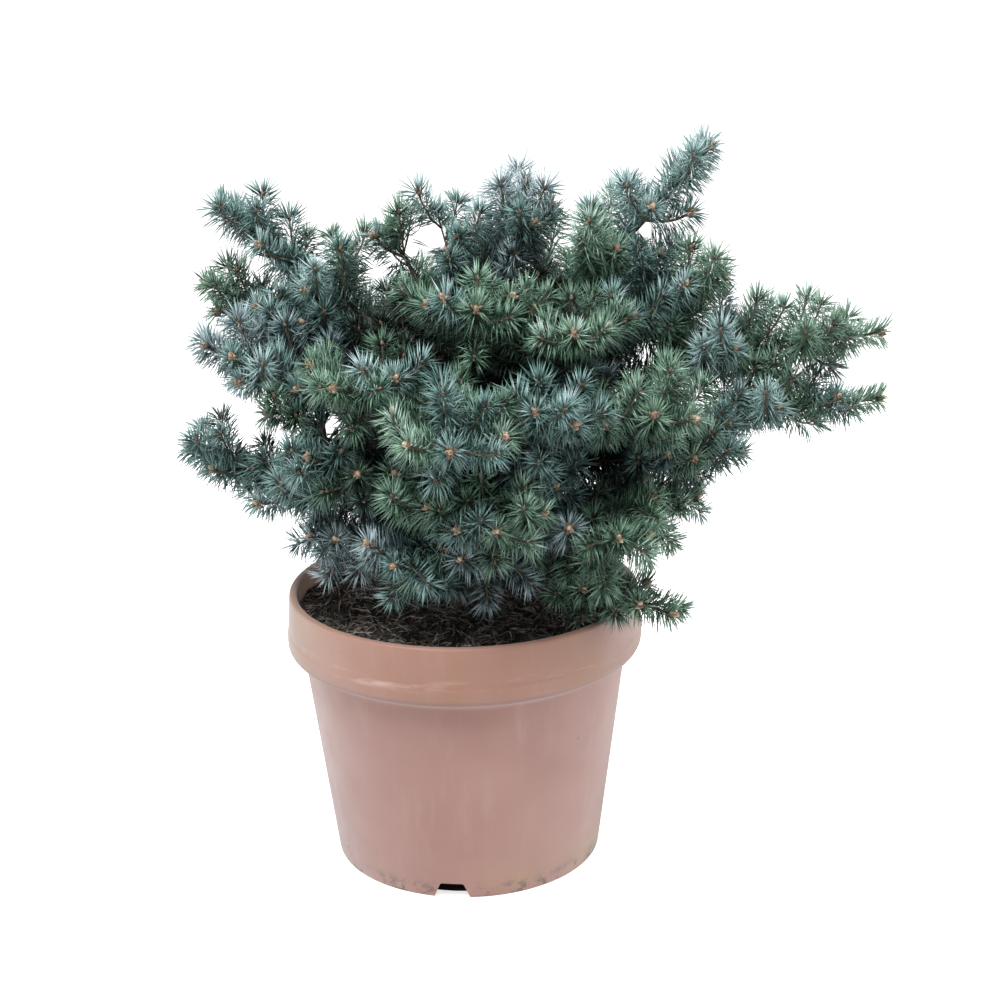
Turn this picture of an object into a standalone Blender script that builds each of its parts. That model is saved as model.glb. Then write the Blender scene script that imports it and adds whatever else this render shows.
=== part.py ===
"""A potted dwarf white spruce: nursery pot, potting mix, leaning trunk, boughs and masses of needles.

The origin is on the pot's axis at the floor, +Z is up and the front is -Y. Sizes are in
millimetres and turn into metres where the meshes are made. A bearing is seen from above, in
degrees: 0 is right (+X), 90 is the back (+Y) and -90 is the front.
"""
import math
import random

import bmesh
import bpy
import numpy as np

MM = 0.001
CLEAR = 0.3

# Pot: a tapered plastic pot with a deep collar, a foot ring and a flat centre disc underneath
POT_HEIGHT = 184.0
RIM_RADIUS = 115.0
RIM_THICKNESS = 5.0
COLLAR_RADIUS = 117.4
COLLAR_DEPTH = 35.0
COLLAR_ROUND = (2.4, 3.6)
STEP_DEPTH = 7.3
LIP_ROUND = 2.0
WALL = 3.0
WALL_TOP_RADIUS = 106.8
BASE_RADIUS = 88.6
FOOT_WIDTH = 8.0
FOOT_ROUND = 1.6
CHANNEL_HEIGHT = 11.5
DISC_RADIUS = 58.0
TURNS = 32
NOTCHES = 3
NOTCH_BEARING = -97.7
NOTCH_WIDTH = 24.0
NOTCH_TOP_WIDTH = 15.0
NOTCH_HEIGHT = 11.0
DRAINS = 8
DRAIN_RADIUS = 4.0
DRAIN_RING = 69.0

# Potting mix: filled to a little below the rim and slightly mounded round the trunk
MIX_EDGE = 170.0
MIX_MIDDLE = 173.5
MIX_TOP = 176.0
MIX_FLAT_RADIUS = 17.0
MIX_MIDDLE_RADIUS = 62.0
MIX_ROUGHNESS = 1.0

# Trunk: flared at the ground, leaning to the right and a little back
TRUNK_FOOT = MIX_TOP + CLEAR
TRUNK_TOP = 335.0
TRUNK_LEAN = (10.0, 8.0)
FLARE_RADIUS = 13.5
TRUNK_RADIUS = 8.2
TRUNK_TIP_RADIUS = 3.4
FLARE_HEIGHT = 9.0
FLARE_STATIONS = (0.0, 3.0, 8.0, 16.0, 30.0)
TRUNK_SHARES = (0.4, 0.6, 0.8, 1.0)

# Boughs, and sprays of needles: a spray is a slim core with a pair of needles at every ring,
# each pair square to the last
BOUGH_RADIUS = 2.0
BOUGH_SWELL = 0.006
BOUGH_SPANS = 4
MASS_GAP = 0.45
PATH_STEPS = 40
FIRST_SHOOT = 0.16
LAST_SHOOT = 0.68
SHOOT_LENGTHS = (1.3, 0.76)
SPREAD = 46.0
LIFT = 0.14
CORE_RADIUS = 2.0
CORE_TIP_RADIUS = 1.0
ROOT_RADIUS = 1.3
NEEDLE_REACH = 15.0
NEEDLE_SWEEP = 9.5
RING_PITCH = 9.0
RING_TWIST = 14.0
TIP_LENGTH = 12.0
ELBOW_ROOM = 4.0
NEEDLE_ROOT_ROOM = 3.0
NEEDLE_TIP_ROOM = 0.5
POT_ROOM = 1.0
BARE_RINGS = 2
SHOOT_STEPS = 8

# Needles are short near a shoot's root and at its tip: the share of their reach at the root, its
# gain along the shoot up to the whole, and its loss at the tip. They sweep more towards the tip
ROOT_SHARE, ROOT_GAIN, TIP_LOSS = 0.45, 3.0, 0.45
SWEEP_SHARE, SWEEP_GAIN = 0.8, 0.5

# How far side shoots and needles stray from their rule, in degrees and in shares of a length
TURN_STRAY = 10.0
SPREAD_STRAY = 6.0
TWIST_STRAY = 6.0
SHOOT_STRAY = (0.92, 1.08)
NEEDLE_STRAY = (0.88, 1.08)

# What a side shoot tries in turn: a share of its length and a turn aside
TRIES = ((1, 0), (1, 22), (1, -22), (0.75, 0), (0.75, 40), (0.75, -40), (0.5, 0))

# Each mass: bearing, reach, height of its tip, height of its fork on the trunk (None: it stands
# on the trunk's tip), arch, share of the limb that is bare bough, longest side shoot, and the
# side shoots' turns round the limb from its inner to its outer end (0 is upward)
MASSES = {
    "top": (22, 50, 447, None, 0, 0.0, 38, (0, 270, 100, 180)),
    "high_right": (-3, 158, 470, 318, -4, 0.34, 33, (100, 265, 85, 180, 275)),
    "high_left": (172, 150, 437, 306, 2, 0.34, 30, (250, 110, 250, 100)),
    "shoulder": (138, 58, 416, 313, 6, 0.35, 33, (270, 20, 260)),
    "right_crest": (-4, 168, 390, 298, 6, 0.34, 40, (80, 270, 180, 20, 85, 250)),
    "left_crest": (170, 164, 384, 290, 10, 0.34, 34, (280, 90, 260, 90, 200)),
    "left_face": (-166, 160, 358, 278, 4, 0.34, 38, (250, 200, 80, 230, 270)),
    "front_crest": (-84, 104, 392, 302, 14, 0.34, 38, (270, 90, 285, 75)),
    "front_right_crest": (-45, 125, 376, 274, 12, 0.34, 42, (260, 90, 275, 100)),
    "left_fore": (-122, 138, 350, 260, 16, 0.36, 42, (255, 100, 280, 80)),
    "front": (-92, 166, 324, 249, 20, 0.38, 44, (270, 85, 265, 95)),
    "front_right": (-64, 150, 330, 267, 8, 0.36, 42, (270, 90, 280, 75)),
    "right_fore": (-36, 172, 322, 258, 10, 0.34, 42, (260, 85, 275, 90)),
    "right_side": (-14, 182, 284, 247, 8, 0.34, 40, (270, 90, 100, 260)),
    "far_right_high": (1, 271, 348, 291, 10, 0.32, 40, (265, 85, 270, 160, 80, 190)),
    "far_right_low": (-2, 269, 308, 236, 16, 0.40, 36, (100, 260, 80, 260, 85)),
    "far_left_low": (180, 175, 282, 220, -2, 0.36, 34, (260, 220, 110, 250)),
    "left_low_fore": (-136, 128, 300, 238, 4, 0.36, 40, (270, 90, 250, 100)),
    "front_low": (-82, 142, 268, 231, 10, 0.34, 44, (270, 85, 280, 265, 95)),
    "right_low_fore": (-42, 152, 250, 222, 8, 0.34, 44, (265, 90, 280, 100)),
    "low_left": (-150, 110, 238, 203, 8, 0.30, 36, (270, 90, 260)),
    "low_front_left": (-112, 112, 235, 194, 14, 0.30, 38, (270, 90, 265, 80)),
    "low_front": (-80, 112, 240, 206, 12, 0.30, 38, (270, 90, 260, 100)),
    "low_right_fore": (-34, 156, 193, 200, 10, 0.30, 34, (270, 90, 260, 85)),
    "low_right": (-14, 154, 254, 212, 8, 0.32, 42, (270, 90, 100, 260)),
    "back_left": (138, 158, 336, 264, 10, 0.34, 50, (280, 80, 0, 180, 260, 100)),
    "back": (96, 168, 322, 252, 12, 0.34, 54, (280, 80, 10, 180, 350, 260, 100)),
    "back_right": (48, 170, 334, 270, 10, 0.34, 54, (280, 80, 0, 180, 20, 260, 100)),
    "back_low": (105, 142, 240, 214, 10, 0.30, 56, (280, 80, 0, 190, 260, 100)),
}


def material(name, colour, roughness):
    made = bpy.data.materials.new(name)
    made.use_nodes = True
    shader = made.node_tree.nodes["Principled BSDF"]
    shader.inputs["Base Color"].default_value = (*colour, 1.0)
    shader.inputs["Roughness"].default_value = roughness
    shader.inputs["Metallic"].default_value = 0.0
    return made


def place(mesh, name, collection, surface=None):
    """Make an object of a mesh and put it in a collection."""
    thing = bpy.data.objects.new(name, mesh)
    if surface:
        mesh.materials.clear()
        mesh.materials.append(surface)
    collection.objects.link(thing)
    return thing


def evaluated_mesh(thing):
    """The object's mesh with its modifiers or its curve bevel carried out."""
    graph = bpy.context.evaluated_depsgraph_get()
    return bpy.data.meshes.new_from_object(thing.evaluated_get(graph), depsgraph=graph)


def turned(name, profile, collection, surface):
    """A body of revolution about Z. The profile's outer side runs top to bottom."""
    mesh = bpy.data.meshes.new(name)
    shape = bmesh.new()
    points = [shape.verts.new((r * MM, 0.0, z * MM)) for r, z in profile]
    for a, b in zip(points, points[1:]):
        shape.edges.new((a, b))
    shape.to_mesh(mesh)
    shape.free()
    thing = place(mesh, name, collection, surface)
    screw = thing.modifiers.new("turn", "SCREW")
    screw.steps = TURNS
    screw.render_steps = TURNS
    screw.use_merge_vertices = True
    screw.merge_threshold = 0.00001
    return thing


def settle(thing):
    """Carry out an object's modifiers and keep the result as its mesh."""
    mesh = evaluated_mesh(thing)
    thing.modifiers.clear()
    thing.data = mesh
    return thing


def tube(name, points, radii, rings, collection, surface=None):
    """A tapered limb along points in millimetres, with flat closed ends, as a mesh."""
    curve = bpy.data.curves.new(name, "CURVE")
    curve.dimensions = "3D"
    curve.bevel_depth = MM
    curve.bevel_resolution = rings
    curve.use_fill_caps = True
    line = curve.splines.new("POLY")
    line.points.add(len(points) - 1)
    for spot, point, radius in zip(line.points, points, radii):
        spot.co = (*(MM * v for v in point), 1.0)
        spot.radius = radius
    thing = place(curve, name, collection)
    mesh = evaluated_mesh(thing)
    bpy.data.objects.remove(thing)
    shape = bmesh.new()
    shape.from_mesh(mesh)
    bmesh.ops.remove_doubles(shape, verts=shape.verts, dist=0.000001)
    shape.to_mesh(mesh)
    shape.free()
    return place(mesh, name, collection, surface)


def unit(v):
    return v / np.linalg.norm(v)


def bend(start, middle, end, steps):
    """A curve from start to end that is pulled towards middle."""
    t = np.linspace(0.0, 1.0, steps + 1)[:, None]
    return start * (1 - t) ** 2 + middle * 2 * t * (1 - t) + end * t ** 2


def trunk_axis(z):
    """The trunk's middle at a height. It leaves the ground upright and leans more as it rises."""
    t = (z - TRUNK_FOOT) / (TRUNK_TOP - TRUNK_FOOT)
    return np.array([TRUNK_LEAN[0] * t * t, TRUNK_LEAN[1] * t * t, z])


def trunk_radius(z):
    rise = (z - TRUNK_FOOT) / (TRUNK_TOP - TRUNK_FOOT)
    taper = TRUNK_RADIUS + (TRUNK_TIP_RADIUS - TRUNK_RADIUS) * rise
    return taper + (FLARE_RADIUS - TRUNK_RADIUS) * math.exp(-(z - TRUNK_FOOT) / FLARE_HEIGHT)


def limb_path(name):
    """The whole limb from the trunk's middle to the mass's tip."""
    bearing, reach, height, fork, arch = MASSES[name][:5]
    foot = trunk_axis(TRUNK_TOP + MASS_GAP if fork is None else fork)
    turn = math.radians(bearing)
    tip = np.array([reach * math.cos(turn), reach * math.sin(turn), height])
    middle = (foot + tip) / 2 + np.array([0.0, 0.0, 2.0 * arch])
    return bend(foot, middle, tip, PATH_STEPS)


def stem_path(name):
    """The mass's own stem: the limb's outer part, a hair's breadth beyond the bough's tip."""
    path = limb_path(name)
    if MASSES[name][3] is None:
        return path
    stem = path[round(MASSES[name][5] * PATH_STEPS):].copy()
    stem[0] += unit(stem[1] - stem[0]) * MASS_GAP
    return stem


def side_shoot(line, at, turn, spread, length, steps):
    """A shoot that leaves a line at a share of its length and turns up towards its tip."""
    along = np.concatenate([[0.0], np.cumsum(np.linalg.norm(np.diff(line, axis=0), axis=1))])
    i = int(min(np.searchsorted(along, at * along[-1]), len(line) - 2))
    start = line[i]
    ahead = unit(line[i + 1] - start)
    up = np.array([0.0, 0.0, 1.0]) - ahead * ahead[2]
    up = unit(up) if np.linalg.norm(up) > 0.2 else np.array([0.0, 1.0, 0.0])
    right = np.cross(ahead, up)
    roll, open_angle = math.radians(turn), math.radians(spread)
    outward = up * math.cos(roll) + right * math.sin(roll)
    aim = ahead * math.cos(open_angle) + outward * math.sin(open_angle)
    tip = start + aim * length + np.array([0.0, 0.0, LIFT * length])
    return bend(start, start + aim * length / 2, tip, steps)


class Space:
    """The straight pieces already placed, each a tapered rod with an owner."""

    def __init__(self):
        self.owners = []
        self.rods = []

    def add(self, owner, rods):
        self.owners += [owner] * len(rods)
        self.rods += rods

    def free(self, owner, rods):
        """Whether rods keep clear of the pot, the mix and everything that others own."""
        others = [rod for rod, other in zip(self.rods, self.owners) if not other.startswith(owner)]
        if not others:
            return True
        starts, ends, start_radii, end_radii = (np.array(part) for part in zip(*others))
        for start, end, start_radius, end_radius in rods:
            if not above_pot(start, end, max(start_radius, end_radius)):
                return False
            apart, s, t = closest(start, end, starts, ends)
            mine = start_radius + (end_radius - start_radius) * s
            theirs = start_radii + (end_radii - start_radii) * t
            if np.any(apart < mine + theirs + CLEAR):
                return False
        return True


def closest(p, q, starts, ends):
    """Distances from one straight piece to many, and where along both they are reached."""
    d, e, r = q - p, ends - starts, p - starts
    dd, ee = d @ d, np.einsum("ij,ij->i", e, e)
    de, er, dr = e @ d, np.einsum("ij,ij->i", e, r), r @ d
    spread = np.maximum(dd * ee - de * de, 1e-9)
    s = np.clip((de * er - dr * ee) / spread, 0.0, 1.0)
    t = np.clip((de * s + er) / ee, 0.0, 1.0)
    s = np.clip((de * t - dr) / dd, 0.0, 1.0)
    apart = (p + s[:, None] * d) - (starts + t[:, None] * e)
    return np.linalg.norm(apart, axis=1), s, t


def above_pot(start, end, radius):
    """Whether a rod stays over the mix and clear of the rim."""
    for share in np.linspace(0.0, 1.0, 5):
        x, y, z = start + (end - start) * share
        out = math.hypot(x, y)
        room = radius + POT_ROOM
        over_rim = RIM_RADIUS - RIM_THICKNESS - room < out < COLLAR_RADIUS + room
        if out < RIM_RADIUS and z - room < MIX_TOP:
            return False
        if over_rim and z - room < POT_HEIGHT:
            return False
    return True


def rods_of(points, radii):
    return [(points[i], points[i + 1], radii[i], radii[i + 1]) for i in range(len(points) - 1)]


def thinned(path, count):
    """The points of a path at even steps."""
    return path[np.linspace(0, len(path) - 1, count + 1).round().astype(int)]


def make_pot(collection, cutters):
    """The pot's section runs from its floor's middle up the inside and down the outside."""
    step_bottom = POT_HEIGHT - COLLAR_DEPTH - STEP_DEPTH
    collar_bottom = POT_HEIGHT - COLLAR_DEPTH
    lip = RIM_RADIUS - RIM_THICKNESS
    floor = CHANNEL_HEIGHT + WALL
    foot_outer = BASE_RADIUS - FOOT_ROUND
    foot_inner = foot_outer - FOOT_WIDTH
    profile = [
        (0.0, WALL),
        (DISC_RADIUS - WALL, WALL),
        (DISC_RADIUS - 1.0, floor),
        (BASE_RADIUS - WALL + 0.8, floor),
        (WALL_TOP_RADIUS - WALL, step_bottom),
        (lip, collar_bottom + FOOT_ROUND),
        (lip, POT_HEIGHT - LIP_ROUND),
        (lip + LIP_ROUND, POT_HEIGHT),
        (RIM_RADIUS - LIP_ROUND / 2, POT_HEIGHT - LIP_ROUND / 3),
        (RIM_RADIUS + LIP_ROUND / 4, POT_HEIGHT - 1.5 * LIP_ROUND),
        (COLLAR_RADIUS, collar_bottom),
        (COLLAR_RADIUS - COLLAR_ROUND[0], collar_bottom - COLLAR_ROUND[1]),
        (WALL_TOP_RADIUS, step_bottom),
        (BASE_RADIUS, FOOT_ROUND),
        (foot_outer, 0.0),
        (foot_inner, 0.0),
        (foot_inner - FOOT_ROUND, CHANNEL_HEIGHT),
        (DISC_RADIUS + FOOT_ROUND, CHANNEL_HEIGHT),
        (DISC_RADIUS, 0.0),
        (0.0, 0.0),
    ]
    clay = material("clay_plastic", (0.40, 0.235, 0.19), 0.5)
    pot = turned("pot", profile, collection, clay)
    cut = pot.modifiers.new("notches and drains", "BOOLEAN")
    cut.operation = "DIFFERENCE"
    cut.object = make_foot_cutter(cutters, foot_inner)


def make_foot_cutter(cutters, foot_inner):
    """Notches through the foot ring, and drain holes in the channel inside it."""
    shape = bmesh.new()
    deep = 2.0 * (BASE_RADIUS - foot_inner)
    width_below = 2.0 * NOTCH_WIDTH - NOTCH_TOP_WIDTH
    for k in range(NOTCHES):
        turn = math.radians(NOTCH_BEARING + 360.0 * k / NOTCHES)
        block = bmesh.ops.create_cube(shape, size=1.0)["verts"]
        for vert in block:
            width = NOTCH_TOP_WIDTH if vert.co.z > 0 else width_below
            height = NOTCH_HEIGHT if vert.co.z > 0 else -NOTCH_HEIGHT
            out = (foot_inner + BASE_RADIUS) / 2 + vert.co.x * deep
            side = vert.co.y * width
            vert.co.x = (out * math.cos(turn) - side * math.sin(turn)) * MM
            vert.co.y = (out * math.sin(turn) + side * math.cos(turn)) * MM
            vert.co.z = height * MM
    for k in range(DRAINS):
        turn = math.radians(NOTCH_BEARING + 360.0 * (k + 0.5) / DRAINS)
        drain = bmesh.ops.create_cone(
            shape, cap_ends=True, segments=8, radius1=DRAIN_RADIUS * MM,
            radius2=DRAIN_RADIUS * MM, depth=4 * WALL * MM)["verts"]
        middle = (DRAIN_RING * math.cos(turn), DRAIN_RING * math.sin(turn), CHANNEL_HEIGHT)
        for vert in drain:
            for axis, value in enumerate(middle):
                vert.co[axis] += value * MM
    bmesh.ops.recalc_face_normals(shape, faces=shape.faces)
    mesh = bpy.data.meshes.new("foot_cutter")
    shape.to_mesh(mesh)
    shape.free()
    return as_cutter(place(mesh, "foot_cutter", cutters))


def as_cutter(thing):
    thing.hide_render = True
    thing.display_type = "WIRE"
    return thing


def make_mix(collection):
    """The potting mix fills the pot, its top rough and a little higher round the trunk."""
    step_bottom = POT_HEIGHT - COLLAR_DEPTH - STEP_DEPTH
    floor = CHANNEL_HEIGHT + WALL + CLEAR
    lip = RIM_RADIUS - RIM_THICKNESS - CLEAR
    profile = [
        (0.0, MIX_TOP),
        (MIX_FLAT_RADIUS, MIX_TOP),
        (MIX_MIDDLE_RADIUS, MIX_MIDDLE),
        (lip, MIX_EDGE),
        (lip, POT_HEIGHT - COLLAR_DEPTH + FOOT_ROUND + CLEAR),
        (WALL_TOP_RADIUS - WALL - 2 * CLEAR, step_bottom),
        (BASE_RADIUS - WALL - CLEAR, floor),
        (DISC_RADIUS - 1.0 - CLEAR, floor),
        (DISC_RADIUS - WALL - CLEAR, WALL + CLEAR),
        (0.0, WALL + CLEAR),
    ]
    peat = material("potting_mix", (0.030, 0.024, 0.019), 0.95)
    mix = settle(turned("potting_mix", profile, collection, peat))
    rough = random.Random("potting mix")
    for vert in mix.data.vertices:
        if (MIX_EDGE - MIX_ROUGHNESS) * MM < vert.co.z < (MIX_TOP - MIX_ROUGHNESS) * MM:
            vert.co.z += rough.uniform(-MIX_ROUGHNESS, MIX_ROUGHNESS) * MM


def trunk_stations():
    """Heights up the trunk, close together in the flare."""
    rise = TRUNK_TOP - TRUNK_FOOT
    heights = [*FLARE_STATIONS, *(rise * share for share in TRUNK_SHARES)]
    return [TRUNK_FOOT + height for height in heights]


def make_trunk(collection, cutters, bark):
    """The trunk, and a copy of it that is wider by the clearance, which trims the boughs."""
    heights = trunk_stations()
    points = [trunk_axis(z) for z in heights]
    radii = [trunk_radius(z) for z in heights]
    tube("trunk", points, radii, 2, collection, bark)
    wider = tube("trunk_clearance", points, [r + CLEAR for r in radii], 2, cutters)
    return as_cutter(wider)


def bough_line(name):
    """Points and radii of a bough, from inside the trunk to where its mass begins."""
    path = limb_path(name)
    last = round(MASSES[name][5] * PATH_STEPS)
    points = thinned(path[:last + 1], BOUGH_SPANS)
    whole = np.linalg.norm(np.diff(path, axis=0), axis=1).sum()
    swell = np.linspace(BOUGH_SWELL * whole, 0.0, BOUGH_SPANS + 1)
    return points, [BOUGH_RADIUS + extra for extra in swell]


def make_bough(name, collection, clearance, bark):
    points, radii = bough_line(name)
    bough = tube("bough_" + name, points, radii, 1, collection, bark)
    trim = bough.modifiers.new("seat on the trunk", "BOOLEAN")
    trim.operation = "DIFFERENCE"
    trim.object = clearance


class Spray:
    """A shoot's rings: where each stands, how it is turned, and the reach of its four points."""

    def __init__(self, path, first_radius, bare, chance):
        self.bare = bare
        along = np.concatenate([[0.0], np.cumsum(np.linalg.norm(np.diff(path, axis=0), axis=1))])
        count = max(3, round(along[-1] / RING_PITCH))
        self.shares = np.linspace(0.0, 1.0, count + 1)
        spots = self.shares * along[-1]
        self.points = np.stack([np.interp(spots, along, path[:, k]) for k in range(3)], axis=1)
        self.ahead = [unit(step) for step in np.gradient(self.points, axis=0)]
        side = unit(np.cross(self.ahead[0], [0.31, 0.22, 0.93]))
        roll = chance.uniform(0.0, 90.0)
        self.cores = [first_radius] + [
            CORE_RADIUS + (CORE_TIP_RADIUS - CORE_RADIUS) * share for share in self.shares[1:]]
        self.spokes = []
        self.tips = []
        for k, ahead in enumerate(self.ahead):
            side = unit(side - ahead * (side @ ahead))
            other = np.cross(ahead, side)
            turns = [math.radians(roll + 90.0 * j) for j in range(4)]
            self.spokes.append([side * math.cos(a) + other * math.sin(a) for a in turns])
            roll += RING_TWIST + chance.uniform(-TWIST_STRAY, TWIST_STRAY)
            self.tips.append([self.needle(k, j, chance) for j in range(4)])
        self.end = self.points[-1] + self.ahead[-1] * TIP_LENGTH

    def needle(self, k, j, chance):
        """The tip of the needle at one point of a ring, or None where the ring has none."""
        long = chance.uniform(*NEEDLE_STRAY)
        if k < self.bare or k == len(self.shares) - 1 or (k + j) % 2:
            return None
        share = self.shares[k]
        near_root = min(1.0, ROOT_SHARE + ROOT_GAIN * share)
        reach = NEEDLE_REACH * long * near_root * (1.0 - TIP_LOSS * share ** 3)
        sweep = NEEDLE_SWEEP * long * (SWEEP_SHARE + SWEEP_GAIN * share)
        return self.points[k] + self.spokes[k][j] * reach + self.ahead[k] * sweep

    def core_rods(self, room=0.0):
        return rods_of(self.points, [r + room for r in self.cores])

    def needle_rods(self, k, tip):
        """What one needle takes up: it is rooted from the ring before its own to the ring after."""
        roots = np.vstack([self.points, self.end])[max(k - 1, 0):k + 2]
        return [(root, tip, NEEDLE_ROOT_ROOM, NEEDLE_TIP_ROOM) for root in roots]

    def keep_clear(self, owner, space):
        """Drop each needle whose place is taken, and claim the places of the others."""
        for k, row in enumerate(self.tips):
            for j, tip in enumerate(row):
                rods = [] if tip is None else self.needle_rods(k, tip)
                if rods and space.free(owner, rods):
                    space.add(owner, rods)
                else:
                    row[j] = None
        rods = [(self.points[-1], self.end, self.cores[-1], NEEDLE_TIP_ROOM)]
        if space.free(owner, rods):
            space.add(owner, rods)
        else:
            self.end = self.points[-1] + self.ahead[-1] * CORE_TIP_RADIUS

    def mesh(self, name):
        """A closed loft through the rings. Its faces meet along the lines between low points."""
        shape = bmesh.new()
        rings = []
        for k, row in enumerate(self.tips):
            low = [self.points[k] + spoke * self.cores[k] for spoke in self.spokes[k]]
            spots = [tip if tip is not None else foot for tip, foot in zip(row, low)]
            rings.append([shape.verts.new(spot * MM) for spot in spots])
        shape.faces.new(rings[0])
        for k, (a, b) in enumerate(zip(rings, rings[1:])):
            for j in range(4):
                n = (j + 1) % 4
                if (k + j) % 2:
                    shape.faces.new((a[j], b[n], a[n]))
                    shape.faces.new((a[j], b[j], b[n]))
                else:
                    shape.faces.new((a[j], b[j], a[n]))
                    shape.faces.new((a[n], b[j], b[n]))
        end = shape.verts.new(self.end * MM)
        for j in range(4):
            shape.faces.new((rings[-1][j], end, rings[-1][(j + 1) % 4]))
        bmesh.ops.recalc_face_normals(shape, faces=shape.faces)
        mesh = bpy.data.meshes.new(name)
        shape.to_mesh(mesh)
        shape.free()
        return mesh


def plan_side_shoots(name, space):
    """The side shoots of a mass. One whose place is taken turns aside or is shortened."""
    chance = random.Random("side shoots of " + name)
    longest, turns = MASSES[name][6:8]
    stem = stem_path(name)
    sprays = []
    for k, turn in enumerate(turns):
        at = FIRST_SHOOT + (LAST_SHOOT - FIRST_SHOOT) * k / (len(turns) - 1)
        turn += chance.uniform(-TURN_STRAY, TURN_STRAY)
        spread = SPREAD + chance.uniform(-SPREAD_STRAY, SPREAD_STRAY)
        scale = np.interp(at, (FIRST_SHOOT, LAST_SHOOT), SHOOT_LENGTHS)
        length = longest * scale * chance.uniform(*SHOOT_STRAY)
        for shorter, aside in TRIES:
            path = side_shoot(stem, at, turn + aside, spread, length * shorter, SHOOT_STEPS)
            spray = Spray(path, ROOT_RADIUS, BARE_RINGS, random.Random(f"spray {k} of {name}"))
            if space.free(f"foliage_{name}/", spray.core_rods(ELBOW_ROOM)):
                sprays.append(spray)
                break
    return sprays


def spray_label(name, k):
    return f"foliage_{name}/{k}/"


def make_mass(name, sprays, collection, green):
    """One mass: the stem's spray and its side shoots' sprays, joined into one solid."""
    extras = new_collection("side shoots of " + name)
    mass = place(sprays[0].mesh("foliage_" + name), "foliage_" + name, collection, green)
    for spray in sprays[1:]:
        place(spray.mesh("side shoot"), "side shoot", extras)
    union = mass.modifiers.new("side shoots", "BOOLEAN")
    union.operation = "UNION"
    union.operand_type = "COLLECTION"
    union.collection = extras
    settle(mass)
    for thing in list(extras.objects):
        bpy.data.objects.remove(thing)
    bpy.data.collections.remove(extras)


def make_plant(collection, cutters):
    bark = material("bark", (0.16, 0.115, 0.085), 0.85)
    green = material("needles", (0.10, 0.155, 0.13), 0.6)
    clearance = make_trunk(collection, cutters, bark)
    space = Space()
    heights = trunk_stations()
    trunk_points = np.array([trunk_axis(z) for z in heights])
    space.add("trunk", rods_of(trunk_points, [trunk_radius(z) for z in heights]))
    for name, row in MASSES.items():
        if row[3] is not None:
            make_bough(name, collection, clearance, bark)
            points, radii = bough_line(name)
            space.add("bough_" + name, rods_of(points, radii))
    plans = {}
    for name in MASSES:
        stem = Spray(stem_path(name), BOUGH_RADIUS, 1, random.Random("stem of " + name))
        plans[name] = [stem]
        space.add(spray_label(name, 0), stem.core_rods())
    for name, sprays in plans.items():
        sprays += plan_side_shoots(name, space)
        for k, spray in enumerate(sprays[1:], start=1):
            space.add(spray_label(name, k), spray.core_rods())
    for name, sprays in plans.items():
        for k, spray in enumerate(sprays):
            spray.keep_clear(spray_label(name, k), space)
        make_mass(name, sprays, collection, green)


def new_collection(name):
    collection = bpy.data.collections.new(name)
    bpy.context.scene.collection.children.link(collection)
    return collection


def main():
    for thing in list(bpy.data.objects):
        bpy.data.objects.remove(thing)
    plant = new_collection("potted_white_spruce")
    cutters = new_collection("cutters")
    make_pot(plant, cutters)
    make_mix(plant)
    make_plant(plant, cutters)


main()
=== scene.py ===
"""A potted dwarf spruce: needles, buds, bark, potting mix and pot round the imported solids."""

import math
import random

import bmesh
import bpy
import numpy as np
from mathutils import Matrix, Vector, noise


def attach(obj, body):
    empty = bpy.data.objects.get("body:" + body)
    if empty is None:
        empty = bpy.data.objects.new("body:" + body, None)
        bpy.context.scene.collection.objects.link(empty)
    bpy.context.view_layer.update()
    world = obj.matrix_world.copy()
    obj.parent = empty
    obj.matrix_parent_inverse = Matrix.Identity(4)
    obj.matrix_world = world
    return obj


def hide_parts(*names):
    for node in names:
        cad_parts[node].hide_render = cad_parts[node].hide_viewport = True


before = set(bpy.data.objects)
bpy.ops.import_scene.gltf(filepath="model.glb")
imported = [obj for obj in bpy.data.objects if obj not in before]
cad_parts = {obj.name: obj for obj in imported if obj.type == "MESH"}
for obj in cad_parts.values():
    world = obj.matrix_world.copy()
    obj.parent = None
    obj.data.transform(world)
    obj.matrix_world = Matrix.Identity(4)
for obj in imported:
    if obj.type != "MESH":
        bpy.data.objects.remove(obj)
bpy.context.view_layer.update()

MM = 0.001

# Camera: place in metres, angles in degrees, sensor and lens in millimetres
CAMERA_PLACE = (0.0, -1.276, 0.650)
CAMERA_PITCH, CAMERA_YAW, CAMERA_ROLL = 17.73, 1.12, -0.95
SENSOR = 36.0
LENS = SENSOR * 2.052

# Lights: name, place in metres, watts and size in metres, and the point that they face
LIGHTS = (
    ("key", (-0.32, -0.85, 1.80), 44.0, 0.6),
    ("left_box", (-1.25, 0.20, 0.45), 11.5, 1.2),
    ("right_box", (1.25, 0.20, 0.45), 17.0, 1.2),
)
LIT_POINT = (0.03, 0.0, 0.28)

# White surroundings: how much they light, how bright they look, and the floor's glow
WORLD_LIGHT, WORLD_SEEN, FLOOR_GLOW = 0.6, 1.05, 0.7

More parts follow.
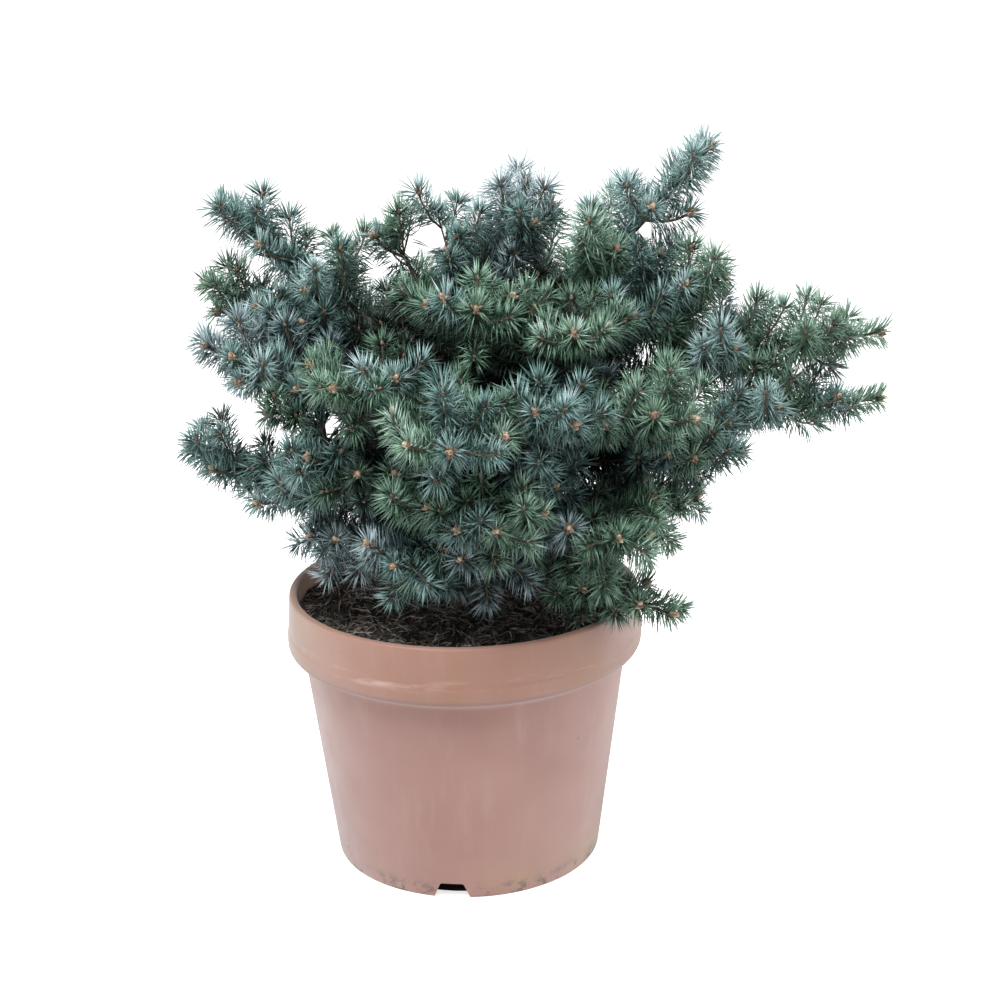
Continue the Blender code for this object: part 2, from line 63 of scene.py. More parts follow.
# Pot, in millimetres, as in the part's source
POT_HEIGHT = 184.0
RIM_RADIUS = 115.0
RIM_THICKNESS = 5.0
COLLAR_RADIUS = 117.4
COLLAR_DEPTH = 35.0
COLLAR_FOLD = 11.0
COLLAR_BOTTOM = POT_HEIGHT - COLLAR_DEPTH
STEP_BOTTOM = COLLAR_BOTTOM - 7.3
LIP_RADIUS = RIM_RADIUS - RIM_THICKNESS
WALL = 3.0
WALL_TOP_RADIUS = 106.8
BASE_RADIUS = 88.6
FOOT_WIDTH = 8.0
FOOT_ROUND = 1.6
POT_SIDES = 192
CHANNEL_HEIGHT = 11.5
DISC_RADIUS = 58.0
NOTCHES = 3
NOTCH_BEARING = -97.7
NOTCH_WIDTH = 24.0
NOTCH_TOP_WIDTH = 15.0
NOTCH_HEIGHT = 11.0
NOTCH_ROUND = 1.6
DRAINS = 8
DRAIN_RADIUS = 4.0
DRAIN_RING = 69.0
CUT_BELOW = 5.0
SHARP_FROM = 32.0

# Potting mix, and the numbers and sizes of what lies on it
MIX_EDGE = 170.0
MIX_MIDDLE = 173.5
MIX_TOP = 176.0
MIX_FLAT_RADIUS = 17.0
MIX_MIDDLE_RADIUS = 62.0
MIX_SUNK = 1.6
MIX_SIDES, MIX_RINGS = 260, 84
CRUMBS, CRUMB_SIZES = 4200, (0.5, 1.5)
CHIPS, CHIP_SIZES = 260, (1.6, 3.4)
FIBRES, FIBRE_LENGTHS, FIBRE_RADII = 1500, (5.0, 18.0), (0.25, 0.7)
FALLEN_SHARE, FALLEN_LENGTHS, FALLEN_RADII = 0.4, (7.0, 14.0), (0.40, 0.60)
FIBRE_STEPS, FIBRE_TAPER = 4, (0.5, 1.0, 1.0, 0.9, 0.4)
DARK_PEAT, BROWN_PEAT, DRY_FIBRE, OLD_NEEDLE = 0, 1, 2, 3

# Waves in the mix's surface: layer of the noise, width and height
MIX_WAVES = ((3.0, 21.0, 3.2), (9.0, 6.5, 2.2), (1.0, 2.2, 0.8))

# Trunk and boughs, in millimetres
TRUNK_FOOT = 176.3
TRUNK_TOP = 335.0
TRUNK_LEAN = (10.0, 8.0)
FLARE_RADIUS = 13.5
TRUNK_RADIUS = 8.2
TRUNK_TIP_RADIUS = 3.4
FLARE_HEIGHT = 9.0
BURIED, FLARED, FLARE_RINGS = 5.0, 24.0, 40
STEM_START, STEM_RINGS = 25.0, 90
TRUNK_SIDES = 56
BARK_DEPTH = 0.5
ROOTS, ROOT_RIDGE, ROOT_TURN = 5, 1.2, 0.7
BOUGH_RADIUS = 2.0
BOUGH_SWELL = 0.006
BOUGH_SIDES = 14
MASS_GAP = 0.45
PATH_STEPS = 40

# Waves in the bark: share of z that counts, share of the grain, height
BARK_WAVES = ((0.55, 1.0, 1.0), (0.8, 0.4, 0.5))

# Side shoots and how they stray, as in the part's source
FIRST_SHOOT = 0.16
LAST_SHOOT = 0.68
SHOOT_LENGTHS = (1.3, 0.76)
SPREAD = 46.0
LIFT = 0.14
TURN_STRAY = 10.0
SPREAD_STRAY = 6.0
SHOOT_STRAY = (0.92, 1.08)

# Masses: bearing, reach, tip height, fork height, arch, bare share, longest side shoot, turns
MASSES = {
    "top": (22, 50, 447, None, 0, 0.0, 38, (0, 270, 100, 180)),
    "high_right": (-3, 158, 470, 318, -4, 0.34, 33, (100, 265, 85, 180, 275)),
    "high_left": (172, 150, 437, 306, 2, 0.34, 30, (250, 110, 250, 100)),
    "shoulder": (138, 58, 416, 313, 6, 0.35, 33, (270, 20, 260)),
    "right_crest": (-4, 168, 390, 298, 6, 0.34, 40, (80, 270, 180, 20, 85, 250)),
    "left_crest": (170, 164, 384, 290, 10, 0.34, 34, (280, 90, 260, 90, 200)),
    "left_face": (-166, 160, 358, 278, 4, 0.34, 38, (250, 200, 80, 230, 270)),
    "front_crest": (-84, 104, 392, 302, 14, 0.34, 38, (270, 90, 285, 75)),
    "front_right_crest": (-45, 125, 376, 274, 12, 0.34, 42, (260, 90, 275, 100)),
    "left_fore": (-122, 138, 350, 260, 16, 0.36, 42, (255, 100, 280, 80)),
    "front": (-92, 166, 324, 249, 20, 0.38, 44, (270, 85, 265, 95)),
    "front_right": (-64, 150, 330, 267, 8, 0.36, 42, (270, 90, 280, 75)),
    "right_fore": (-36, 172, 322, 258, 10, 0.34, 42, (260, 85, 275, 90)),
    "right_side": (-14, 182, 284, 247, 8, 0.34, 40, (270, 90, 100, 260)),
    "far_right_high": (1, 271, 348, 291, 10, 0.32, 40, (265, 85, 270, 160, 80, 190)),
    "far_right_low": (-2, 269, 308, 236, 16, 0.40, 36, (100, 260, 80, 260, 85)),
    "far_left_low": (180, 175, 282, 220, -2, 0.36, 34, (260, 220, 110, 250)),
    "left_low_fore": (-136, 128, 300, 238, 4, 0.36, 40, (270, 90, 250, 100)),
    "front_low": (-82, 142, 268, 231, 10, 0.34, 44, (270, 85, 280, 265, 95)),
    "right_low_fore": (-42, 152, 250, 222, 8, 0.34, 44, (265, 90, 280, 100)),
    "low_left": (-150, 110, 238, 203, 8, 0.30, 36, (270, 90, 260)),
    "low_front_left": (-112, 112, 235, 194, 14, 0.30, 38, (270, 90, 265, 80)),
    "low_front": (-80, 112, 240, 206, 12, 0.30, 38, (270, 90, 260, 100)),
    "low_right_fore": (-34, 156, 193, 200, 10, 0.30, 34, (270, 90, 260, 85)),
    "low_right": (-14, 154, 254, 212, 8, 0.32, 42, (270, 90, 100, 260)),
    "back_left": (138, 158, 336, 264, 10, 0.34, 50, (280, 80, 0, 180, 260, 100)),
    "back": (96, 168, 322, 252, 12, 0.34, 54, (280, 80, 10, 180, 350, 260, 100)),
    "back_right": (48, 170, 334, 270, 10, 0.34, 54, (280, 80, 0, 180, 20, 260, 100)),
    "back_low": (105, 142, 240, 214, 10, 0.30, 56, (280, 80, 0, 190, 260, 100)),
}

# Orders of shoots: a bough with needles, a mass's stem, its side shoots, and twigs
LIMB, STEM, SIDE, TWIG, TWIGLET, INNER = -1, 0, 1, 2, 3, 4

# Finer twigs: turn round the parent and share of its length
STEM_TWIGS = ((95, 0.77), (265, 0.8), (300, 0.66), (170, 0.6), (60, 0.52), (250, 0.42),
              (110, 0.32), (340, 0.2), (8, 0.7), (352, 0.42))
SIDE_TWIGS = ((90, 0.32), (270, 0.42), (80, 0.62), (280, 0.64))
TWIGLETS = ((90, 0.45), (270, 0.6))
BOUGH_TWIGS = ((80, 0.42), (275, 0.5), (180, 0.56), (10, 0.62), (110, 0.7), (250, 0.76),
               (300, 0.84), (60, 0.9), (200, 0.95), (240, 0.36), (130, 0.48), (30, 0.8),
               (320, 0.66))

# Their lengths: shares of the longest side shoot's or the parent's, or millimetres
STEM_TWIG_SHARE, SIDE_TWIG_SHARE, TWIGLET_SHARE = 0.78, 0.62, 0.6
BOUGH_TWIG_LENGTH, FORKING_LENGTH = 27.0, 19.0

# Their lift and fork. Those in front fork wider, and those of the SILVER masses hang
TWIG_LIFT, TWIG_SPREAD = 0.42, 47.0
FRONT_BEARINGS, FRONT_LIFT, FRONT_SPREAD = (-140, -40), 0.10, 64.0
HANGING_LIFT = -0.25

# Room round each shoot, over the mix and by the rim
TWIG_ROOM, SIDE_ROOM, INNER_ROOM = 7.8, 6.0, 5.6
POT_ROOM, RIM_ROOM = 2.5, 9.0
SPOTS_PER_SHOOT = 8

# Needles: length, radius, number and strays
NEEDLE_LENGTH = 17.6
NEEDLE_RADIUS = 0.49
NEEDLES_PER_MM = 3.8
FEWEST_NEEDLES = 6
OWN_LENGTHS, LENGTH_STRAY, RADIUS_STRAY = (0.84, 1.06), (0.8, 1.1), (0.85, 1.15)
ROSETTE, ROSETTE_START = 22, 0.93

# Their angle to the shoot at shares of its length, and what it gains below the shoot
LEAN_SHARES, LEANS = (0.0, 0.3, 0.8, 1.0), (78.0, 69.0, 59.0, 50.0)
LEAN_BELOW, LEAN_STRAY = 16.0, 8.0
MAIN_ROSETTE_LEAN, FINE_ROSETTE_LEAN, ROSETTE_OPENS = 12.0, 5.0, 54.0

# How they rise above the shoot and fall and part below it, as a whole and by their bend
RISE, FALL = 0.18, 0.45
BEND_RISE, BEND_FALL, BEND_AHEAD = 0.55, 1.25, 0.2
PARTING = 0.12
GOLDEN = math.pi * (3.0 - math.sqrt(5.0))

# Sections of a needle: shares of its length and width. Those below and on twigs are lean
FULL_NEEDLE = ((0.16, 0.9), (0.62, 0.95))
LEAN_NEEDLE = ((0.45, 1.0),)
LEAN_FROM = 0.3

# Winter buds: sections as above, ranges of lengths and radii, materials
BUD_STATIONS = ((0.0, 0.6), (0.22, 1.0), (0.48, 0.92), (0.76, 0.52))
BUD_SIDES = 5
END_BUD = ((5.2, 6.4), (1.9, 2.3))
SIDE_BUD = ((3.8, 5.2), (1.4, 1.9))
FINE_SCALE = 0.66
TAN, BROWN, PALE = 0, 1, 2

# Any turn in radians, the make of twigs, and directions that help to find square ones
ANY_TURN = (0.0, 6.3)
TWIG_SIDES, BLUNT_END = 5, 0.2
YOUNG_BARK, OLD_BARK = 0, 1
SLANT, NEEDLE_SLANT = (0.31, 0.22, 0.93), (0.27, 0.41, 0.87)

# The crown's middle and half sizes: needles near the middle get painted shade, a darker tone
CROWN_MIDDLE = (10.0, -10.0, 300.0)
CROWN_HALVES = (190.0, 165.0, 150.0)

# Where the photo shows sky: shares of its width from the left and top, and the radius
OPENINGS = ((0.435, 0.235, 0.013), (0.410, 0.247, 0.010), (0.394, 0.258, 0.008),
            (0.645, 0.227, 0.010), (0.331, 0.427, 0.006), (0.257, 0.262, 0.006))
OPENING_EDGE = 0.006

# Needle colours, from old and shaded to young and waxy: blue-green, green and silver strains
NEEDLE_COLOURS = (
    (0.007, 0.018, 0.015), (0.021, 0.052, 0.045), (0.050, 0.110, 0.099),
    (0.094, 0.181, 0.167), (0.175, 0.287, 0.277), (0.345, 0.455, 0.463),
    (0.009, 0.021, 0.013), (0.025, 0.061, 0.038), (0.056, 0.126, 0.079),
    (0.102, 0.198, 0.132), (0.185, 0.300, 0.222), (0.345, 0.455, 0.415),
    (0.009, 0.018, 0.018), (0.029, 0.052, 0.055), (0.070, 0.115, 0.122),
    (0.135, 0.202, 0.214), (0.255, 0.340, 0.358), (0.440, 0.520, 0.555),
)
TONES = 6

# Tones from 0, dark, to 1: of shoots, and what a needle gains by its place or loses to painted
# shade
STEM_TONE, SIDE_TONE, INNER_TONE, LIMB_TONE = 0.5, 0.55, 0.12, 0.10
TIP_GAIN, GAIN_FROM, TONE_LIFT = 0.24, 0.6, 0.09
UNDER_PAINTED_SHADE, DEPTH_PAINTED_SHADE, PAINTED_SHADE_SHELL = 0.16, 0.74, 0.92
TONE_STRAY = 0.12

# Strains, what each adds to the tone, and the masses where silver or green prevails
BLUE_GREEN, LEAF_GREEN, SILVERY = 0, 1, 2
STRAIN_GAINS = (0.0, -0.03, 0.08)
STEM_NUMBER = 99
SILVER = ("low_left", "low_front_left", "low_front", "low_right_fore", "right_low_fore",
          "low_right", "back_low")
GREEN = ("front", "front_crest", "front_right", "front_right_crest", "front_low", "left_fore",
         "right_fore")


def unit(v):
    return v / np.linalg.norm(v, axis=-1, keepdims=True)


def upward(z):
    return np.array([0.0, 0.0, z])


def bend(start, middle, end, steps):
    """A curve from start to end that is pulled towards middle."""
    t = np.linspace(0.0, 1.0, steps + 1)[:, None]
    return start * (1 - t) ** 2 + middle * 2 * t * (1 - t) + end * t ** 2


def camera_axes():
    """The camera's right, up and forward directions."""
    pitch, yaw, roll = (math.radians(a) for a in (CAMERA_PITCH, CAMERA_YAW, CAMERA_ROLL))
    level_share = math.cos(pitch)
    ahead = Vector((math.sin(yaw) * level_share, math.cos(yaw) * level_share, -math.sin(pitch)))
    level = Vector((math.cos(yaw), -math.sin(yaw), 0.0))
    upright = level.cross(ahead)
    right = level * math.cos(roll) + upright * math.sin(roll)
    up = upright * math.cos(roll) - level * math.sin(roll)
    return right, up, ahead


def in_opening(points, edge=0.0):
    """Whether points lie before or behind one of the picture's openings."""
    right, up, ahead = (np.array(axis) for axis in camera_axes())
    seen = points * MM - np.array(CAMERA_PLACE)
    depth = seen @ ahead
    across = 0.5 + LENS / SENSOR * (seen @ right) / depth
    down = 0.5 - LENS / SENSOR * (seen @ up) / depth
    inside = np.zeros(len(points), bool)
    for left, top, radius in OPENINGS:
        inside |= np.hypot(across - left, down - top) < radius + edge
    return inside


def trunk_axis(z):
    t = (z - TRUNK_FOOT) / (TRUNK_TOP - TRUNK_FOOT)
    return np.array([TRUNK_LEAN[0] * t * t, TRUNK_LEAN[1] * t * t, z])


def trunk_radius(z):
    rise = (z - TRUNK_FOOT) / (TRUNK_TOP - TRUNK_FOOT)
    taper = TRUNK_RADIUS + (TRUNK_TIP_RADIUS - TRUNK_RADIUS) * rise
    return taper + (FLARE_RADIUS - TRUNK_RADIUS) * math.exp(-(z - TRUNK_FOOT) / FLARE_HEIGHT)


def limb_path(name):
    """The whole limb from the trunk's middle to the mass's tip."""
    bearing, reach, height, fork, arch = MASSES[name][:5]
    foot = trunk_axis(TRUNK_TOP + MASS_GAP if fork is None else fork)
    turn = math.radians(bearing)
    tip = np.array([reach * math.cos(turn), reach * math.sin(turn), height])
    middle = (foot + tip) / 2 + upward(2.0 * arch)
    return bend(foot, middle, tip, PATH_STEPS)


def split_limb(name):
    """The limb's bough, up to where its mass begins, and the mass's stem."""
    path = limb_path(name)
    if MASSES[name][3] is None:
        return None, path
    last = round(MASSES[name][5] * PATH_STEPS)
    return path[:last + 1], path[last:]


def lengths_along(path):
    return np.concatenate([[0.0], np.cumsum(np.linalg.norm(np.diff(path, axis=0), axis=1))])


def between_rows(spots, along, rows):
    """Coordinates at spots on a path, from rows given at lengths along it."""
    return np.stack([np.interp(spots, along, rows[:, k]) for k in range(3)], axis=1)


def side_shoot(line, at, turn, spread, length, steps, lift=LIFT):
    """A shoot that leaves a line at a share of its length and turns up or down to its tip."""
    along = lengths_along(line)
    i = int(min(np.searchsorted(along, at * along[-1]), len(line) - 2))
    start = line[i]
    ahead = unit(line[i + 1] - start)
    up = upward(1.0) - ahead * ahead[2]
    up = unit(up) if np.linalg.norm(up) > 0.2 else np.array([0.0, 1.0, 0.0])
    right = np.cross(ahead, up)
    roll, open_angle = math.radians(turn), math.radians(spread)
    outward = up * math.cos(roll) + right * math.sin(roll)
    aim = ahead * math.cos(open_angle) + outward * math.sin(open_angle)
    tip = start + aim * length + upward(lift * length)
    return bend(start, start + aim * length / 2, tip, steps)


def upturned(path, rise, power=4):
    """A path with the same ends that sags a little and then turns up towards its tip."""
    along = lengths_along(path)
    share = along / along[-1]
    turned_up = path.copy()
    turned_up[:, 2] += rise * (share ** power - share)
    return turned_up


class Shoot:
    """A stem or twig: its line, order, tone, colour strain and radii at its ends."""

    def __init__(self, path, order, tone, strain, radii):
        self.path = path
        self.order = order
        self.tone = tone
        self.strain = strain
        self.radii = radii
        self.length = lengths_along(path)[-1]


class Crown:
    """All shoots, by mass, and the points along them that keep new ones apart."""

    def __init__(self):
        self.shoots = {name: [] for name in MASSES}
        self.spots = np.zeros((0, 3))

    def room_for(self, path, room):
        outer = path[len(path) // 2:]
        out, z = np.hypot(outer[:, 0], outer[:, 1]), outer[:, 2]
        in_pot = (out < RIM_RADIUS) & (z < MIX_TOP + POT_ROOM)
        at_rim = (np.abs(out - RIM_RADIUS) < RIM_ROOM) & (z < POT_HEIGHT + POT_ROOM)
        if np.any(in_pot | at_rim) or in_opening(path[-1:], OPENING_EDGE)[0]:
            return False
        if not len(self.spots):
            return True
        apart = np.linalg.norm(self.spots[None] - outer[:, None], axis=2)
        return apart.min() > room

    def add(self, name, shoot, room):
        """Take in a shoot if it has the room asked for, if any."""
        if room and not self.room_for(shoot.path, room):
            return False
        self.shoots[name].append(shoot)
        step = max(1, len(shoot.path) // SPOTS_PER_SHOOT)
        self.spots = np.vstack([self.spots, shoot.path[step::step]])
        return True


def grow_sides(crown, name):
    """The source's side shoots, by its rule and its seeds."""
    chance = random.Random("side shoots of " + name)
    longest, turns = MASSES[name][6:8]
    stem = split_limb(name)[1]
    sides = []
    for k, turn in enumerate(turns):
        at = FIRST_SHOOT + (LAST_SHOOT - FIRST_SHOOT) * k / (len(turns) - 1)
        turn += chance.uniform(-TURN_STRAY, TURN_STRAY)
        spread = SPREAD + chance.uniform(-SPREAD_STRAY, SPREAD_STRAY)
        scale = np.interp(at, (FIRST_SHOOT, LAST_SHOOT), SHOOT_LENGTHS)
        length = longest * scale * chance.uniform(*SHOOT_STRAY)
        path = upturned(side_shoot(stem, at, turn, spread, length, steps=8), rise=5.0)
        tone = SIDE_TONE + chance.uniform(-0.12, 0.16)
        shoot = Shoot(path, SIDE, tone, strain_of(name, k), radii=(1.2, 0.8))
        if crown.add(name, shoot, SIDE_ROOM):
            sides.append(shoot)
    return sides


def strain_of(name, k):
    """A shoot's strain: silver mostly low in the crown, green mostly in its middle."""
    draw = random.Random(f"strain of {name} {k}").random()
    if draw < (0.5 if name in SILVER else 0.05):
        return SILVERY
    return LEAF_GREEN if draw > (0.25 if name in GREEN else 0.66) else BLUE_GREEN


def twig_habit(name, order):
    """How far a mass's twigs turn up, or down, and the angle at which they fork."""
    lift, spread = TWIG_LIFT, TWIG_SPREAD
    if FRONT_BEARINGS[0] < MASSES[name][0] < FRONT_BEARINGS[1]:
        lift, spread = FRONT_LIFT, FRONT_SPREAD
    if name in SILVER and order == TWIG:
        lift = HANGING_LIFT
    return lift, spread


def grow_twigs(crown, name, parent, places, longest, chance, order):
    """Finer twigs on one shoot, where they find room, shorter towards its tip."""
    made = []
    lift, mean_spread = twig_habit(name, order)
    for turn, at in places:
        turn += chance.uniform(-25.0, 25.0)
        spread = mean_spread + chance.uniform(-7.0, 7.0)
        length = longest * chance.uniform(0.84, 1.1) * (1.15 - 0.4 * at)
        path = side_shoot(parent.path, at, turn, spread, length, steps=6, lift=lift)
        if lift > 0.0:
            path = upturned(path, rise=3.5)
        tone = parent.tone + chance.uniform(-0.08, 0.14)
        shoot = Shoot(path, order, tone, parent.strain, radii=(0.8, 0.6))
        if crown.add(name, shoot, INNER_ROOM if order == INNER else TWIG_ROOM):
            made.append(shoot)
    return made


def grow_stem(crown, name):
    """The stem of a mass, which takes its place whatever is near."""
    chance = random.Random("tone of " + name)
    path = upturned(split_limb(name)[1], rise=4.0, power=8)
    tone = STEM_TONE + chance.uniform(-0.1, 0.12)
    stem = Shoot(path, STEM, tone, strain_of(name, STEM_NUMBER), radii=(2.0, 0.9))
    crown.add(name, stem, room=0)
    return stem


def grow_mass_twigs(crown, name, stem, sides):
    """Twigs on a mass's stem and side shoots, and twiglets on the longer twigs."""
    chance = random.Random("twigs of " + name)
    longest = MASSES[name][6] * STEM_TWIG_SHARE
    grow_twigs(crown, name, stem, STEM_TWIGS, longest, chance, TWIG)
    for side in sides:
        longest = side.length * SIDE_TWIG_SHARE
        for twig in grow_twigs(crown, name, side, SIDE_TWIGS, longest, chance, TWIG):
            if twig.length > FORKING_LENGTH:
                length = twig.length * TWIGLET_SHARE
                grow_twigs(crown, name, twig, TWIGLETS, length, chance, TWIGLET)


def grow_inner_twigs(crown, name):
    """Dark twigs along the bough of a mass."""
    bough = split_limb(name)[0]
    if bough is not None:
        chance = random.Random("inner twigs of " + name)
        limb = Shoot(bough, STEM, INNER_TONE, LEAF_GREEN, (BOUGH_RADIUS, BOUGH_RADIUS))
        grow_twigs(crown, name, limb, BOUGH_TWIGS, BOUGH_TWIG_LENGTH, chance, INNER)


def grow_crown():
    """All shoots: every stem, every side shoot, then what fills the room between."""
    crown = Crown()
    stems = {name: grow_stem(crown, name) for name in MASSES}
    sides = {name: grow_sides(crown, name) for name in MASSES}
    for name in MASSES:
        grow_mass_twigs(crown, name, stems[name], sides[name])
    for name in MASSES:
        grow_inner_twigs(crown, name)
    return crown


class Bundle:
    """Loose closed shapes gathered into one mesh: points, triangles, a slot each."""

    def __init__(self):
        self.points = []
        self.faces = []
        self.slots = []
        self.count = 0

    def add(self, points, faces, slots):
        self.points.append(points)
        self.faces.append(faces + self.count)
        self.slots.append(np.broadcast_to(slots, len(faces)))
        self.count += len(points)

    def mesh(self, name, materials, smooth):
        points = np.concatenate(self.points) * MM
        faces = np.concatenate(self.faces).astype(np.int32)
        slots = np.concatenate(self.slots).astype(np.int32)
        mesh = bpy.data.meshes.new(name)
        mesh.vertices.add(len(points))
        mesh.vertices.foreach_set("co", points.astype(np.float32).ravel())
        mesh.loops.add(faces.size)
        mesh.loops.foreach_set("vertex_index", faces.ravel())
        mesh.polygons.add(len(faces))
        mesh.polygons.foreach_set("loop_start", np.arange(0, faces.size, 3, dtype=np.int32))
        mesh.polygons.foreach_set("material_index", slots)
        mesh.update(calc_edges=True)
        mesh.polygons.foreach_set("use_smooth", np.full(len(faces), smooth))
        return add_object(name, mesh, materials)


def needle_faces(stations):
    """Triangles of a needle whose section is a triangle at each station between its ends."""
    tip = 1 + 3 * stations
    faces = []
    for corner in range(3):
        after = (corner + 1) % 3
        faces.append((0, 1 + after, 1 + corner))
        for station in range(stations - 1):
            a, b = 1 + 3 * station + corner, 1 + 3 * station + after
            faces += [(a, b, b + 3), (a, b + 3, a + 3)]
        faces.append((tip - 3 + corner, tip - 3 + after, tip))
    return np.array(faces)


def square_to(ahead, slant=SLANT):
    """Two directions square to ahead and to each other."""
    side = unit(np.cross(ahead, np.array(slant)))
    return side, np.cross(ahead, side)


def add_needles(bundle, roots, middles, tips, radii, slots, sections):
    """Many needles that curve from their roots to their tips."""
    count = len(roots)
    side, other = square_to(unit(tips - roots), NEEDLE_SLANT)
    size = 2 + 3 * len(sections)
    points = np.empty((count, size, 3))
    points[:, 0] = roots
    points[:, -1] = tips
    for station, (t, wide) in enumerate(sections):
        centre = roots * (1 - t) ** 2 + middles * 2 * t * (1 - t) + tips * t ** 2
        for corner in range(3):
            turn = corner * math.tau / 3.0
            out = side * math.cos(turn) + other * math.sin(turn)
            points[:, 1 + 3 * station + corner] = centre + out * (radii * wide)[:, None]
    shape = needle_faces(len(sections))
    faces = shape[None] + (np.arange(count) * size)[:, None, None]
    bundle.add(points.reshape(-1, 3), faces.reshape(-1, 3), np.repeat(slots, len(shape)))


def along_shoot(shoot, spots):
    """Points at lengths along a shoot, and its directions there: ahead, up and right."""
    along = lengths_along(shoot.path)
    points = between_rows(spots, along, shoot.path)
    ahead = unit(between_rows(spots, along, np.gradient(shoot.path, axis=0)))
    up = upward(1.0) - ahead * ahead[:, 2:3]
    upright = np.linalg.norm(up, axis=1) < 0.25
    up[upright] = np.cross(ahead[upright], [1.0, 0.0, 0.0])
    up = unit(up)
    return points, ahead, up, np.cross(ahead, up)


def needle_leans(shoot, shares, below, rosette, chance):
    """Each needle's angle to its shoot. The last ones are the rosette's."""
    leans = np.interp(shares, LEAN_SHARES, LEANS)
    leans = leans + LEAN_BELOW * below + chance.uniform(-LEAN_STRAY, LEAN_STRAY, len(shares))
    least = MAIN_ROSETTE_LEAN if shoot.order < TWIG else FINE_ROSETTE_LEAN
    opened = ROSETTE_OPENS * np.sqrt(chance.uniform(0.0, 1.0, rosette))
    leans[len(shares) - rosette:] = least + opened
    return np.radians(leans)


def needle_sizes(shares, below, first, chance):
    """Lengths, shorter near both ends of the shoot. Each shoot has its own mean."""
    ramp = np.interp(shares, (first, first + 0.12, 0.85, 1.0), (0.7, 1.0, 1.0, 0.9))
    own_length = NEEDLE_LENGTH * chance.uniform(*OWN_LENGTHS)
    return own_length * ramp * (0.98 + 0.05 * below) * chance.uniform(*LENGTH_STRAY, len(shares))


def needle_slots(shoot, shares, below, middles, chance):
    """Colours: painted shade below the shoot and deep in the crown, lighter towards its tip."""
    depth = np.linalg.norm((middles - CROWN_MIDDLE) / CROWN_HALVES, axis=1)
    # Lighter towards the tip; painted shade makes needles below the shoot darker
    tone = shoot.tone + TIP_GAIN * (shares - GAIN_FROM) + TONE_LIFT - UNDER_PAINTED_SHADE * below
    # Painted shade: needles deep in the crown are darker
    tone = tone - DEPTH_PAINTED_SHADE * np.maximum(PAINTED_SHADE_SHELL - depth, 0.0)
    tone = tone + chance.normal(0.0, TONE_STRAY, len(shares)) + STRAIN_GAINS[shoot.strain]
    return np.clip(np.floor(tone * TONES), 0, TONES - 1) + TONES * shoot.strain


def clothe(bundle, shoot, seed, first=0.0, density=1.0):
    """Needles all round a shoot, from its first share on, and in a rosette at its tip."""
    chance = np.random.default_rng(random.Random(seed).getrandbits(32))
    count = max(FEWEST_NEEDLES, int((1.0 - first) * shoot.length * NEEDLES_PER_MM * density))
    rosette = 0 if shoot.order == LIMB else ROSETTE
    shares = first + (1.0 - first) * (np.arange(count) + chance.uniform(0, 1, count)) / count
    shares = np.concatenate([shares, chance.uniform(ROSETTE_START, 1.0, rosette)])
    roots, ahead, up, right = along_shoot(shoot, shares * shoot.length)
    whole = count + rosette
    turn = (GOLDEN * np.arange(whole) + chance.uniform(-0.5, 0.5, whole)) % math.tau
    turn = np.where(turn > math.pi, turn - math.tau, turn)
    below = np.abs(turn) / math.pi
    turn = turn * (1.0 - PARTING * below ** 2)
    radial = up * np.cos(turn)[:, None] + right * np.sin(turn)[:, None]
    leans = needle_leans(shoot, shares, below, rosette, chance)[:, None]
    out = radial * np.sin(leans) + ahead * np.cos(leans)
    out[:, 2] += RISE - FALL * below
    out = unit(out)
    size = needle_sizes(shares, below, first, chance)[:, None]
    middles = roots + out * size * 0.5
    droop = np.zeros((whole, 3))
    droop[:, 2] = BEND_RISE - BEND_FALL * below
    tips = middles + unit(out + ahead * BEND_AHEAD + droop) * size * 0.5
    core = np.interp(shares, (0.0, 1.0), shoot.radii)[:, None]
    roots = roots + radial * core * 0.5
    radii = NEEDLE_RADIUS * chance.uniform(*RADIUS_STRAY, whole)
    slots = needle_slots(shoot, shares, below, middles, chance)
    keep = clear_of_pot(tips) & clear_of_pot(middles) & ~in_opening(tips) & ~in_opening(middles)
    lean_ones = (below > LEAN_FROM) | (shoot.order not in (STEM, SIDE))
    for which, sections in ((keep & ~lean_ones, FULL_NEEDLE), (keep & lean_ones, LEAN_NEEDLE)):
        add_needles(bundle, roots[which], middles[which], tips[which], radii[which],
                    slots[which], sections)


def clear_of_pot(points):
    """Whether points are outside the pot's wall and above the mix."""
    out, z = np.hypot(points[:, 0], points[:, 1]), points[:, 2]
    in_mix = (out < LIP_RADIUS) & (z < MIX_TOP - 1.0)
    in_wall = (out > LIP_RADIUS - 0.5) & (out < COLLAR_RADIUS + 1.0) & (z < POT_HEIGHT + 0.5)
    below_rim = (out < WALL_TOP_RADIUS + 3.0) & (z < MIX_EDGE)
    return ~(in_mix | in_wall | below_rim)


def closed_grid(rings, foot, tip):
    """Points and triangles of a stack of rings, closed at each end by one point."""
    rows, sides = rings.shape[:2]
    i, j = np.meshgrid(np.arange(rows - 1), np.arange(sides), indexing="ij")
    a, b = i * sides + j, i * sides + (j + 1) % sides
    walls = np.stack([a, b, b + sides, a, b + sides, a + sides], axis=-1).reshape(-1, 3)
    first = np.arange(sides)
    after = (first + 1) % sides
    last = (rows - 1) * sides
    start = np.full(sides, rows * sides)
    ends = np.vstack([np.stack([start, after, first], axis=1),
                      np.stack([start + 1, last + first, last + after], axis=1)])
    points = np.vstack([rings.reshape(-1, 3), foot, tip])
    return points, np.vstack([walls, ends])


def rings_along(path, radii, sides):
    """Rings round a path, as an array of rows, sides and coordinates."""
    side, other = square_to(unit(np.gradient(path, axis=0)))
    turns = np.arange(sides) * math.tau / sides
    cosines, sines = np.cos(turns)[None, :, None], np.sin(turns)[None, :, None]
    out = side[:, None] * cosines + other[:, None] * sines
    return path[:, None] + out * np.reshape(radii, (len(path), -1, 1))


